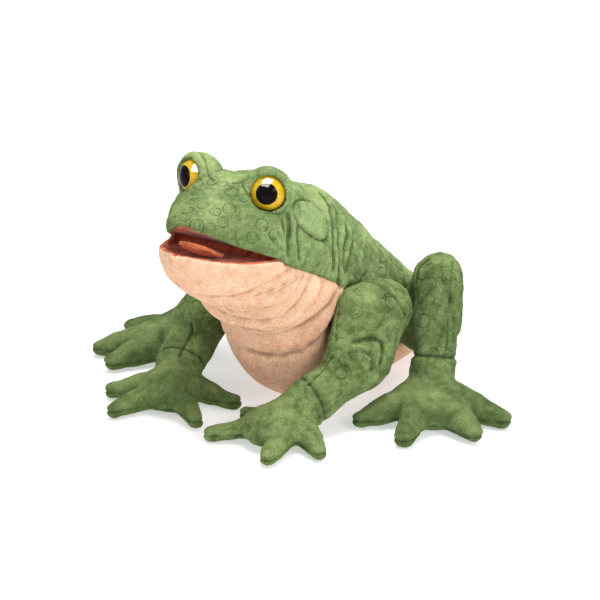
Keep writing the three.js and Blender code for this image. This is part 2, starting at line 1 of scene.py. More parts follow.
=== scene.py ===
"""Frog hand puppet: plush skins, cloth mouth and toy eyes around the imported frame.

The soft shapes are worked out as distance fields in millimetres, turned into quads, embossed with
folds, seams and rings, and then cut into the pieces that were sewn together.
"""
import json
import math

import bmesh
import bpy
import numpy as np
from mathutils import Matrix, Vector


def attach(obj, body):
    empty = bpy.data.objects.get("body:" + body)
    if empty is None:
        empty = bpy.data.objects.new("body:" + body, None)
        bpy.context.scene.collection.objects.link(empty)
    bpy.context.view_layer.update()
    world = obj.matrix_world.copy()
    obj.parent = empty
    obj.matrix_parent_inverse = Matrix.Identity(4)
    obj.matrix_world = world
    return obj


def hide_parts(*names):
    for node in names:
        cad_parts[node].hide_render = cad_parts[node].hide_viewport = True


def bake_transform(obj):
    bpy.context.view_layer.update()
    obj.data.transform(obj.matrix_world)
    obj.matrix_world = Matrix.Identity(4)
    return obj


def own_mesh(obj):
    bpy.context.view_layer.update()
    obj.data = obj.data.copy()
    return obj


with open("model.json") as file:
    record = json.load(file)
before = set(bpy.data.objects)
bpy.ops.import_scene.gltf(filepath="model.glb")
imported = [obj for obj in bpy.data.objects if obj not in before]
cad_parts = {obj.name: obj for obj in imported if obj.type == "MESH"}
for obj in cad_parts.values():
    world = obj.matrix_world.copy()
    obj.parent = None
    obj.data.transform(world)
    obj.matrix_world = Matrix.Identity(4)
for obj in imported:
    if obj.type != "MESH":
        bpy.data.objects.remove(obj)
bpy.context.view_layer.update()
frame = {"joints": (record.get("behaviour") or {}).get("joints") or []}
MM = 0.001
BODY_CELL = 1.5  # grid of the body, mm; its quads are half of this
LIMB_CELL = 1.05
SIDES = {"left": 1, "right": -1}


def rad(degrees):
    return degrees * math.pi / 180


def unit(v):
    return np.array(v, float) / np.linalg.norm(v)


PIVOT = {j["name"]: np.array(j["pos_m"]) / MM for j in frame["joints"]}
HINGE = PIVOT["jaw_open"]
NECK = PIVOT["head_turn"]

# ---------------------------------------------------------------- the shape's tables, mm
# Cross-sections from the hand opening to the mouth's fold: the side seam, the ridge of the back
# and the belly's middle as (y, z), and the half-width at the side seam.
TRUNK = [
    ((97, 29), (95, 52), (99, 5.5), 38),
    ((89, 30), (87, 54), (91, 5), 39),
    ((72, 36), (74, 68), (70, 0), 43),
    ((47, 44), (53, 84), (41, -2.5), 46),
    ((16, 54), (29, 106), (4, -2.5), 46.5),
    ((-14, 66), (5, 128.5), (-29, -0.5), 46),
    ((-36, 79), (-10.5, 142.5), (-60, 13.5), 45),
    ((-50, 94), (-22.5, 150), (-77, 36), 44.5),
    ((-59, 108), (-34, 154.5), (-84, 60), 44),
    ((-74, 116), (-51, 161), (-97, 71), 44.5),
    ((-92, 122.4), (-69, 171), (-103, 80), 45.5),
    ((-108, 128.3), (-88, 176), (-112, 88), 45.5),
]
NECK_SECTION = 8  # where the head is sewn to the back
UPPER_TILT, LOWER_TILT = rad(25.6), rad(7.5)  # palate and mouth floor above the horizontal
# The same past the fold: distance along the palate, ridge and half-width.
UPPER = [
    (0, (-96, 178), 45),
    (9, (-107, 178.5), 42.5),
    (24, (-126, 175.5), 34.5),
    (38, (-146, 168.5), 23.5),
    (48, (-158.5, 165), 15.5),
    (54, (-166, 163), 10),
    (57.5, (-170, 161), 3.5),
]
# Distance along the mouth floor, chin and half-width.
LOWER = [
    (0, (-113, 92), 45),
    (4, (-119, 94), 43),
    (15, (-129, 98), 40.5),
    (29, (-141, 104.5), 34),
    (41, (-153, 113.5), 24.5),
    (51, (-163, 124.5), 13.5),
    (58.5, (-171.5, 137), 3),
]
SQUARE = 2.35  # exponent of the cross-sections
LINING_INSET = 8.5
LIP, LOWER_LIP, SNOUT_LIP = 3.5, 1.2, 9.5  # plush turned into the mouth
PALATE_RECESS, FLOOR_RECESS = 2.4, 3.2


CURL_FROM = 22.0  # how far out of the mouth the lips' edges begin to bend upwards


def lip_curl(distance, tilt):
    """How much the mouth's plane bends upwards at a distance."""
    past = np.clip(distance - CURL_FROM, 0, 40)
    if tilt == UPPER_TILT:
        return 0.0062 * past**2 * (1 - 0.45 * (past / 36) ** 2)
    return 0.0038 * past**2


def along_mouth(distance, tilt, lift=0.0):
    """A point (y, z) at a distance out of the mouth and a height over its plane."""
    lift = lift + lip_curl(distance, tilt)
    return (
        HINGE[1] - distance * math.cos(tilt) + lift * math.sin(tilt),
        HINGE[2] + distance * math.sin(tilt) + lift * math.cos(tilt),
    )


UNDER_LIP = 14  # how far the fields of the two jaws reach into the mouth's gap
UPPER_SECTIONS = [
    (along_mouth(d, UPPER_TILT), top, along_mouth(d, UPPER_TILT, -UNDER_LIP), half)
    for d, top, half in UPPER
]
LOWER_SECTIONS = [
    (along_mouth(d, LOWER_TILT), along_mouth(d, LOWER_TILT, UNDER_LIP), bottom, half)
    for d, bottom, half in LOWER
]

# ---------------------------------------------------------------- distance fields


def smooth_min(a, b, k):
    h = np.maximum(k - np.abs(a - b), 0) / k
    return np.minimum(a, b) - h * h * k / 4


def smooth_max(a, b, k):
    return -smooth_min(-a, -b, k)


class Grid:
    """Sample points in a box, with the distance to a shape that is added up, in mm."""

    def __init__(self, low, high, cell):
        self.low, self.cell = np.array(low, float), cell
        self.size = np.ceil((np.array(high) - self.low) / cell).astype(int) + 1
        self.axes = [
            (self.low[k] + cell * np.arange(self.size[k])).astype(np.float32) for k in range(3)
        ]
        self.d = np.full(self.size, 1e3, np.float32)

    def window(self, low, high):
        a = np.clip(((np.array(low) - self.low) / self.cell).astype(int), 0, self.size - 1)
        b = np.clip(((np.array(high) - self.low) / self.cell).astype(int) + 2, 1, self.size)
        where = tuple(slice(i, j) for i, j in zip(a, b))
        x, y, z = [self.axes[k][where[k]] for k in range(3)]
        return where, (x[:, None, None], y[None, :, None], z[None, None, :])

    def all(self):
        return self.window(self.low, self.low + self.cell * self.size)[1]

    def add(self, ball, k=4.0):
        where, p = self.window(*ball.box)
        self.d[where] = smooth_min(self.d[where], ball(*p), k)

    def cut(self, ball, k=2.0):
        where, p = self.window(*ball.box)
        self.d[where] = smooth_max(self.d[where], -ball(*p), k)

    def sample(self, values, points):
        """Values of a grid array at points, straight between samples."""
        t = (points - self.low) / self.cell
        i = np.clip(t.astype(int), 0, self.size - 2)
        t = np.clip(t - i, 0, 1)
        total = 0
        for corner in np.ndindex(2, 2, 2):
            c = np.array(corner)
            weight = np.where(c, t, 1 - t).prod(1)
            total = total + weight * values[tuple((i + c).T)]
        return total


class Cone:
    """A ball-ended cone between two points."""

    def __init__(self, a, b, ra, rb):
        self.a, self.b = np.array(a, float), np.array(b, float)
        self.ra, self.rb = ra, rb
        reach = max(ra, rb) + 14
        self.box = np.minimum(self.a, self.b) - reach, np.maximum(self.a, self.b) + reach

    def share(self, x, y, z):
        d = self.b - self.a
        p = (x - self.a[0]) * d[0] + (y - self.a[1]) * d[1] + (z - self.a[2]) * d[2]
        return np.clip(p / max(float(d @ d), 1e-6), 0, 1)

    def __call__(self, x, y, z):
        d, t = self.b - self.a, self.share(x, y, z)
        away = [c - self.a[k] - t * d[k] for k, c in enumerate((x, y, z))]
        return np.sqrt(sum(c * c for c in away)) - (self.ra + (self.rb - self.ra) * t)


class Ball:
    """An ellipsoid, with its axes turned if given."""

    def __init__(self, centre, radii, axes=None):
        self.c = np.array(centre, float)
        self.r = np.broadcast_to(np.array(radii, float), 3)
        self.m = np.eye(3) if axes is None else np.array(axes, float)
        reach = self.r.max() + 14
        self.box = self.c - reach, self.c + reach

    def __call__(self, x, y, z):
        p = [c - self.c[k] for k, c in enumerate((x, y, z))]
        q = [sum(self.m[i, k] * p[k] for k in range(3)) for i in range(3)]
        near = np.sqrt(sum((v / s) ** 2 for v, s in zip(q, self.r)))
        steep = np.sqrt(sum((v / s**2) ** 2 for v, s in zip(q, self.r))) + 1e-6
        return near * (near - 1) / steep


def dense(sections, count=240):
    """Sections as rows, with many on a smooth curve between those given."""
    flat = np.array([[*s, *t, *b, h] for s, t, b, h in sections], float)
    at = np.concatenate([[0], np.cumsum(np.linalg.norm(np.diff(flat[:, :2], axis=0), axis=1))])
    want = np.linspace(0, at[-1], count)
    slopes = np.gradient(flat, at, axis=0)
    i = np.clip(np.searchsorted(at, want) - 1, 0, len(at) - 2)
    span = (at[i + 1] - at[i])[:, None]
    t = (want[:, None] - at[i][:, None]) / span
    rows = (2 * t**3 - 3 * t**2 + 1) * flat[i] + (t**3 - 2 * t**2 + t) * span * slopes[i]
    rows += (3 * t**2 - 2 * t**3) * flat[i + 1] + (t**3 - t**2) * span * slopes[i + 1]
    return rows, np.interp(want, at, np.arange(len(at)))


class Loft:
    """The solid of a list of sections: the section that a point lies on, how high it is there
    over the side seam, and its distance to the surface."""

    def __init__(self, sections, grid):
        self.rows, self.number = dense(sections)
        self.grid = grid
        x, y, z = grid.all()
        where = np.stack(np.broadcast_arrays(y[0], z[0]), -1).reshape(-1, 2)
        best = np.full(len(where), np.inf)
        place, height, past = np.zeros((3, len(where)))
        last = len(self.rows) - 1
        for edge, sign in ((2, 1), (4, -1)):
            seam = self.rows[:, :2]
            d = self.rows[:, edge : edge + 2] - seam
            length = np.maximum(np.linalg.norm(d, axis=1), 0.5)
            u = d / length[:, None]
            rel = where[:, None, :] - seam[None]
            up = (rel * u[None]).sum(-1)
            off = rel[..., 0] * u[:, 1] - rel[..., 1] * u[:, 0]
            cost = np.abs(off) + np.maximum(-up, 0) * 2
            i = cost.argmin(1)
            n = np.arange(len(where))
            j = np.clip(i, 1, last - 1)
            turn = (off[n, j + 1] - off[n, j - 1]) / 2
            turn = np.where(np.abs(turn) < 1e-6, 1e-6, turn)
            at = np.clip(j + np.clip(-off[n, j] / turn, -1, 1), 0, last)
            better = cost[n, i] < best
            best = np.where(better, cost[n, i], best)
            place = np.where(better, at, place)
            height = np.where(better, sign * np.maximum(up[n, i], 0), height)
            ends = (i == 0) | (i == last)
            past = np.where(better, np.where(ends, np.abs(off[n, i]), 0), past)
        shape = np.broadcast(y, z).shape
        self.place, self.height, self.past = [a.reshape(shape) for a in (place, height, past)]
        index = np.arange(last + 1)
        spans = [
            np.linalg.norm(self.rows[:, edge : edge + 2] - self.rows[:, :2], axis=1)
            for edge in (2, 4)
        ]
        self.half = np.interp(self.place, index, self.rows[:, 6])
        self.span = np.where(
            self.height > 0, *[np.interp(self.place, index, s) for s in spans]
        )
        self.section = np.interp(self.place, index, self.number)
        self.x = np.abs(x)

    def distance(self, inset=0.0, past=True):
        a = np.maximum(self.half - inset, 1.0)
        b = np.maximum(self.span - inset, 1.0)
        rise = np.abs(self.height) / b
        f = ((self.x / a) ** SQUARE + rise**SQUARE) ** (1 / SQUARE)
        slope = np.sqrt(sum(g * g for g in np.gradient(f, self.grid.cell)))
        slope = np.maximum(slope, 1 / np.maximum(a, b))
        return ((f - 1) / slope + (self.past if past else 0)).astype(np.float32)


def above(tilt, y, z):
    """Height over the palate or the mouth floor."""
    out = (HINGE[1] - y) * math.cos(tilt) + (z - HINGE[2]) * math.sin(tilt)
    level = (y - HINGE[1]) * math.sin(tilt) + (z - HINGE[2]) * math.cos(tilt)
    return level - lip_curl(out, tilt)


# ---------------------------------------------------------------- surfaces
class Skin:
    """Quads on the surface of a grid, with vertex columns that go along with them."""

    def __init__(self, grid):
        d = grid.d
        nx, ny, nz = grid.size
        inside = d < 0
        cells, points, quads = [], [], []
        for axis in range(3):
            first, second = [slice(None)] * 3, [slice(None)] * 3
            first[axis], second[axis] = slice(0, -1), slice(1, None)
            a, b = inside[tuple(first)], inside[tuple(second)]
            index = np.nonzero(a != b)
            da, db = d[tuple(first)][index], d[tuple(second)][index]
            at = np.stack(index, 1).astype(float)
            at[:, axis] += da / (da - db)
            u, w = [k for k in range(3) if k != axis]
            around = []
            for su, sw in ((0, 0), (1, 0), (1, 1), (0, 1)):
                c = [i.copy() for i in index]
                c[u] -= su
                c[w] -= sw
                around.append((c[0] * ny + c[1]) * nz + c[2])
            around = np.stack(around, 1)
            cells.append(around.reshape(-1))
            points.append(np.repeat(at, 4, axis=0))
            turned = a[index] if axis == 1 else ~a[index]
            quads.append(np.where(turned[:, None], around[:, ::-1], around))
        cells, points, quads = [np.concatenate(a) for a in (cells, points, quads)]
        unique, inverse = np.unique(cells, return_inverse=True)
        count = np.bincount(inverse)
        self.v = np.stack([np.bincount(inverse, points[:, k]) / count for k in range(3)], 1)
        self.v = self.v * grid.cell + grid.low
        self.f = np.searchsorted(unique, quads)
        self.column = {}
        self.drop_crumbs()

    def drop_crumbs(self):
        """Keeps the pieces of surface that are a fair share of the whole."""
        label = np.arange(len(self.v))
        while True:
            low = label[self.f].min(1)
            fresh = label.copy()
            np.minimum.at(fresh, self.f.reshape(-1), np.repeat(low, 4))
            fresh = fresh[fresh]
            if np.array_equal(fresh, label):
                break
            label = fresh
        size = np.bincount(label[self.f[:, 0]], minlength=len(self.v))
        kept = self.part(size[label[self.f[:, 0]]] > 0.02 * len(self.f))
        self.v, self.f = kept.v, kept.f

    def part(self, mask):
        """The faces of a mask with their own points."""
        made = Skin.__new__(Skin)
        used, made.f = np.unique(self.f[mask], return_inverse=True)
        made.f = made.f.reshape(-1, 4)
        made.v = self.v[used]
        made.column = {k: a[used] for k, a in self.column.items()}
        return made

    def edges(self):
        pairs = np.concatenate([self.f[:, [k, (k + 1) % 4]] for k in range(4)])
        return np.unique(np.sort(pairs, axis=1), axis=0)

    def relax(self, amounts):
        a, b = self.edges().T
        n = len(self.v)
        count = np.maximum(np.bincount(a, minlength=n) + np.bincount(b, minlength=n), 1)
        for amount in amounts:
            mean = np.stack(
                [
                    np.bincount(a, self.v[b, k], n) + np.bincount(b, self.v[a, k], n)
                    for k in range(3)
                ],
                1,
            ) / count[:, None]
            self.v = self.v + amount * (mean - self.v)

    def snap(self, level, reach):
        """Moves the points near where level is 0 onto it, for a clean seam between pieces."""
        value = level(self.v)
        near = np.abs(value) < reach
        p, value = self.v[near], value[near]
        step = 0.3
        slope = np.stack(
            [(level(p + e) - level(p - e)) / (2 * step) for e in np.eye(3) * step], 1
        )
        size = np.maximum((slope**2).sum(1), 0.05)
        self.v[near] = p - slope * (value / size)[:, None]

    def subdivide(self):
        """Each quad becomes four."""
        n, m = len(self.v), len(self.f)
        sides = np.stack([self.f, np.roll(self.f, -1, axis=1)], -1).reshape(-1, 2)
        edges, number = np.unique(np.sort(sides, axis=1), axis=0, return_inverse=True)
        number = number.reshape(m, 4) + n
        middle = n + len(edges) + np.arange(m)
        grow = lambda a: np.concatenate(
            [a, a[edges].mean(1), a[self.f].mean(1)]
        )
        self.v = grow(self.v)
        self.column = {k: grow(a) for k, a in self.column.items()}
        corners = [
            np.stack([self.f[:, k], number[:, k], middle, number[:, (k + 3) % 4]], 1)
            for k in range(4)
        ]
        self.f = np.concatenate(corners)

    def normals(self):
        p = self.v[self.f]
        n = np.cross(p[:, 2] - p[:, 0], p[:, 3] - p[:, 1])
        total = np.stack(
            [np.bincount(self.f.reshape(-1), np.repeat(n[:, k], 4), len(self.v)) for k in range(3)],
            1,
        )
        return total / np.maximum(np.linalg.norm(total, axis=1), 1e-9)[:, None]


# ---------------------------------------------------------------- embossing


def curve(points, closed=False, steps=5):
    """A smooth line through points."""
    p = np.array(points, float)
    p = np.concatenate([p[-1:], p, p[:2]]) if closed else np.concatenate(
        [2 * p[:1] - p[1:2], p, 2 * p[-1:] - p[-2:-1]]
    )
    line = []
    for a, b, c, d in zip(p, p[1:], p[2:], p[3:]):
        for t in np.arange(steps) / steps:
            line.append(
                0.5 * (2 * b + (c - a) * t + (2 * a - 5 * b + 4 * c - d) * t**2
                       + (3 * b - a - 3 * c + d) * t**3)
            )
    return np.array(line + [p[-2]])


def off_line(points, line, reach):
    """How far points are from a line, up to reach."""
    away = np.full(len(points), float(reach))
    near = np.all((points > line.min(0) - reach) & (points < line.max(0) + reach), axis=1)
    q = points[near]
    best = away[near]
    for a, b in zip(line[:-1], line[1:]):
        d = b - a
        t = np.clip(((q - a) @ d) / max(d @ d, 1e-9), 0, 1)[:, None]
        best = np.minimum(best, np.linalg.norm(q - a - t * d, axis=1))
    away[near] = best
    return away


def bump_of(distance, width):
    return np.exp(-((distance / width) ** 2))


def onto(points, line, reach=7.0):
    """A line with each of its points moved to the nearest of points, if one is within reach."""
    near = np.all((points > line.min(0) - reach) & (points < line.max(0) + reach), axis=1)
    q = points[near]
    if not len(q):
        return line
    moved = []
    for p in line:
        away = ((q - p) ** 2).sum(1)
        i = away.argmin()
        moved.append(q[i] if away[i] < reach**2 else p)
    moved = np.array(moved)
    moved[1:-1] = 0.25 * moved[:-2] + 0.5 * moved[1:-1] + 0.25 * moved[2:]
    return moved


def groove(points, line, width, depth, shoulder=0.45):
    """A crease along a line: a valley with low ridges beside it."""
    away = off_line(points, onto(points, line), width * 4.5)
    return depth * (shoulder * bump_of(away - 1.9 * width, width) - bump_of(away, width))


class Waves:
    """Smooth noise from plane waves, of strength 1."""

    def __init__(self, seed, shortest, longest, count=28):
        rng = np.random.default_rng(seed)
        way = rng.normal(size=(count, 3))
        way /= np.linalg.norm(way, axis=1)[:, None]
        length = shortest * (longest / shortest) ** rng.random(count)
        self.k = (way * (2 * math.pi / length)[:, None]).T
        self.phase = rng.random(count) * 2 * math.pi

    def __call__(self, points):
        return np.sin(points @ self.k + self.phase).mean(1) * math.sqrt(2 * self.k.shape[1])


LUMPS, PUCKER, NAP = Waves(1, 22, 60), Waves(2, 7, 15), Waves(3, 2.2, 4.5, 40)
RING = {"spacing": 9.5, "smallest": 2.6, "largest": 4.5}


def ring_relief(points, normals, wanted, seed):
    """Rings pressed into the plush, at random places where wanted is high."""
    rng = np.random.default_rng(seed)
    relief = np.zeros(len(points))
    centres = []
    open_to = np.nonzero(wanted > 0.15)[0]
    if not len(open_to):
        return relief
    for i in rng.choice(open_to, min(len(open_to), 2600), replace=False):
        if rng.random() > wanted[i]:
            continue
        size = rng.uniform(RING["smallest"], RING["largest"])
        if all(
            np.linalg.norm(points[i] - c) > (size + s) * 1.12 + 0.6 for c, s in centres
        ):
            centres.append((points[i], size))
    for c, size in centres:
        near = np.nonzero(np.abs(points - c).max(1) < size * 1.5)[0]
        q = points[near] - c
        u = np.linalg.norm(q, axis=1) / size
        profile = (
            -0.62 * bump_of(u - 1.0, 0.17)
            + 0.36 * bump_of(u - 0.76, 0.15)
            - 0.34 * bump_of(u - 0.5, 0.13)
            + 0.34 * bump_of(u, 0.3)
        )
        relief[near] += profile * min(1, size / 3.6)
    return relief


def mirror(line, side):
    return np.array(line) * (side, 1, 1)


# Lines on the left of the head and neck, (x, y, z).
EAR = [
    (36.5, -90.0, 158.8), (34.5, -83.6, 160.6), (33.4, -72.5, 158.2), (32.9, -62.4, 153.2),
    (34.8, -56.0, 147.5), (37.2, -53.4, 141.6), (39.8, -53.6, 135.6), (41.8, -56.0, 131.2),
    (43.0, -61.5, 129.2), (43.6, -69.3, 131.5), (43.9, -78.3, 136.8), (43.1, -86.9, 143.8),
    (41.7, -91.9, 149.9), (39.2, -92.9, 155.5),
]
CHEEK_SEAM = [
    (42.7, -59.6, 129.5), (43.3, -58.5, 123.3), (43.9, -58.1, 115.7), (44.0, -60.4, 109.8),
    (43.9, -64.2, 104.3),
]
CREASES = [  # a line, its width and its depth
    ([(38.6, -99.0, 156.4), (40.8, -100.8, 149.9), (42.3, -103.7, 143.6), (43.4, -106.2, 137.2),
      (44.6, -107.5, 131.9)], 1.5, 1.5),
    ([(40.5, -106.8, 155.8), (42.7, -108.5, 149.2), (42.5, -108.9, 140.7),
      (43.0, -111.0, 134.3)], 1.3, 1.2),
    ([(39.4, -114.3, 155.2), (41.7, -114.6, 149.4), (44.1, -114.2, 141.5),
      (44.0, -115.4, 136.7)], 1.2, 0.8),
    ([(42.4, -92.2, 146.8), (44.2, -94.6, 141.7), (45.2, -95.3, 134.6),
      (45.5, -97.3, 127.7)], 1.6, 1.5),
    ([(37.9, -124.4, 153.1), (41.2, -121.1, 145.2), (43.8, -117.8, 138.9)], 1.3, 0.7),
    ([(18, -31.0, 150.5), (27.4, -36.0, 145.0), (34.4, -42.9, 139.7), (39.0, -47.0, 133.3),
      (41.9, -50.3, 126.6), (43.6, -53.2, 117.8), (44.0, -52.7, 108.2)], 2.2, 2.2),
    ([(28, -31, 141), (36.9, -40.0, 133.7), (39.9, -42.2, 127.4), (42.7, -45.7, 120.3),
      (43.7, -45.7, 111.0), (44.3, -46.7, 101.7), (44.6, -45.8, 93.2)], 2.0, 1.9),
    ([(35.3, -27.0, 127.8), (39.0, -31.8, 122.3), (41.7, -38.4, 117.1), (43.1, -38.7, 109.9),
      (44, -37, 101)], 1.9, 1.6),
    ([(36.9, -20.0, 121.3), (40.5, -25.7, 113.5), (42.9, -31.0, 106.0),
      (44.2, -33.5, 97.7)], 1.8, 1.3),
]
# Folds of the throat, as (y, z) of the side seam and of the middle underneath, with how far the
# cloth above hangs over the fold and how tightly it turns in.
FOLDS = [
    ((-107, 123), (-145, 113), 1.8, 2.4),
    ((-103, 120), (-139, 106), 1.6, 2.4),
    ((-98, 117), (-130, 99), 2.6, 2.8),
    ((-93, 113), (-115, 90), 2.4, 2.8),
    ((-83, 110), (-107, 81), 1.6, 3.0),
    ((-71, 104), (-100, 73), 6.8, 4.6),
    ((-52, 94), (-92, 66), 3.2, 4.4),
    ((-40, 88), (-80, 48), 2.0, 4.0),
]
SIDE_SEAM = np.array([
    (-175, 150), (-150, 141.5), (-118, 130.5), (-104.7, 123.2), (-93.8, 117.9), (-77.8, 110.5),
    (-64.3, 103.2), (-52.1, 96.5), (-36.9, 86.6), (-14, 68), (16, 54), (47, 44), (72, 36),
    (99, 29),
])
EYE_TURN, EYE_LIFT, EYE_RADIUS, EYE_DOME = rad(26), rad(10), 12.0, 7.5
DOME_RADIUS, DOME_BACK = 16.0, 5.8  # the plush round an eye, and its centre behind the eye


def eye_look(side):
    flat = math.cos(EYE_LIFT)
    return np.array(
        [side * math.sin(EYE_TURN) * flat, -math.cos(EYE_TURN) * flat, math.sin(EYE_LIFT)]
    )


def eye_at(side):
    return np.array([30.5 * side, -110.5, 173.5])


class Tube:
    """A round hole of a radius, up from a height over a point."""

    def __init__(self, at, way, radius, start):
        self.at, self.way, self.radius, self.start = at, way, radius, start
        self.box = at - 30, at + 30

    def __call__(self, x, y, z):
        p = [c - self.at[k] for k, c in enumerate((x, y, z))]
        up = sum(c * w for c, w in zip(p, self.way))
        away = np.sqrt(np.maximum(sum(c * c for c in p) - up * up, 0))
        return np.maximum(away - self.radius, self.start - up)


class Ring:
    """A torus."""

    def __init__(self, at, way, radius, thick):
        self.at, self.way, self.radius, self.thick = at, way, radius, thick
        self.box = at - 30, at + 30

    def __call__(self, x, y, z):
        p = [c - self.at[k] for k, c in enumerate((x, y, z))]
        up = sum(c * w for c, w in zip(p, self.way))
        away = np.sqrt(np.maximum(sum(c * c for c in p) - up * up, 0))
        return np.hypot(away - self.radius, up) - self.thick


# ---------------------------------------------------------------- limbs
PAWS = {
    "arm": {
        "joints": ("shoulder", "elbow", "wrist"),
        "radii": (21, 17, 15.5),
        "bend": (-6, -4, 3),  # the stuffed elbow's middle from its pivot, on the left
        "pad": (22, 23, 14),
        "toe": (5.4, 8.0, 12.5),  # radii at the tip, half way and at the root
        "root_height": 14.0,
        "reach": 48,
        "left": {"middle": (38, -113, 12), "angles": (77, 27, -58, -119)},
        "right": {"middle": (58, -99, 12), "angles": (77, 27, -58, -119)},
    },
    "leg": {
        "joints": ("hip", "knee", "ankle"),
        "radii": (23.5, 17, 15),
        "bend": (0, 0, 0),
        "pad": (25, 25, 17),
        "toe": (6.4, 10.4, 14.5),
        "root_height": 18.5,
        "reach": 55,
        "left": {"middle": (103, -23, 12), "angles": (110, 69, 10, -42)},
        "right": {"middle": (115, -20, 12), "angles": (112, 58, 20, -40)},
    },
}
THIGH_TUCK = 1.4  # how much thinner the thigh's end is than the knee that covers it
SOLE_SEAM = 6.2  # height where a paw's top is sewn to its sole
SHOULDER_BULK = ((54, -36, 72), (62, -52, 50), 19, 17)  # front of the upper arm, left side


def limb_frame(kind, side_name):
    paw, side = PAWS[kind], SIDES[side_name]
    pivots = [PIVOT[f"{j}_{side_name}"] for j in paw["joints"]]
    middle = np.array(paw[side_name]["middle"], float) * (side, 1, 1)
    tips, radius = [], paw["toe"][0]
    for angle in paw[side_name]["angles"]:
        out = np.array([side * math.sin(rad(angle)), -math.cos(rad(angle)), 0])
        tips.append(middle * (1, 1, 0) + out * (paw["reach"] - radius) + (0, 0, radius))
    return pivots, middle, tips


def limb_links(kind, side_name):
    """The limb's shapes, with how softly each joins the ones before it."""
    (root, bend, end), middle, tips = limb_frame(kind, side_name)
    paw = PAWS[kind]
    wide, knee, thin = paw["radii"]
    bend = bend + np.multiply(paw["bend"], (SIDES[side_name], 1, 1))
    tucked = THIGH_TUCK if kind == "leg" else 0
    links = [(Cone(root, bend, wide, knee - tucked), 4), (Cone(bend, end, knee, thin), 5)]
    if kind == "arm":
        a, b, ra, rb = SHOULDER_BULK
        mirrored = (SIDES[side_name], 1, 1)
        shift = (bend - PIVOT["elbow_left"] * mirrored) * 0.5
        links.append((Cone(np.multiply(a, mirrored), np.multiply(b, mirrored) + shift, ra, rb), 8))
    high = middle * (1, 1, 0) + (0, 0, 15)
    links += [(Cone(end, high, thin - 1, thin - 2.5), 6), (Ball(middle, paw["pad"]), 7)]
    web = end + 0.5 * (middle - end)
    web[2] = paw["root_height"]
    at_tip, half_way, at_root = paw["toe"]
    for tip in tips:
        half = web + 0.58 * (tip - web)
        half[2] = half_way + 1.0
        links.append((Cone(web, half, at_root, half_way), 3.5))
        links.append((Cone(half, tip, half_way, at_tip), 2))
    return links


def limb_grid(kind, side_name, links):
    """The grid of some of a limb's shapes."""
    pivots, middle, tips = limb_frame(kind, side_name)
    points = np.array([*pivots, middle, *tips])
    low, high = points.min(0) - 29, points.max(0) + 29
    low[2] = -4.5
    grid = Grid(low, high, LIMB_CELL)
    for link, soft in links:
        grid.add(link, soft)
    grid.d = smooth_max(grid.d, -grid.all()[2], 3.0)
    return grid


# ---------------------------------------------------------------- body field
NECK_WAY = unit((0, -0.95, 0.31))  # the spine where the puppeteer's wrist bends
NECK_CUT = -5.5
JAW_CUT = -99.0  # y where the throat becomes the jaw's


def along_neck(p):
    return (p - NECK) @ NECK_WAY


def over_side_seam(p):
    return p[:, 2] - np.interp(p[:, 1], *SIDE_SEAM.T)


def behind_rim(y, z):
    """How far a point is behind the rim of the hand opening."""
    return (y - 97) * 0.996 + (z - 29) * 0.087


BODY_BOX = (-66, -178, -4.5), (66, 106, 196)


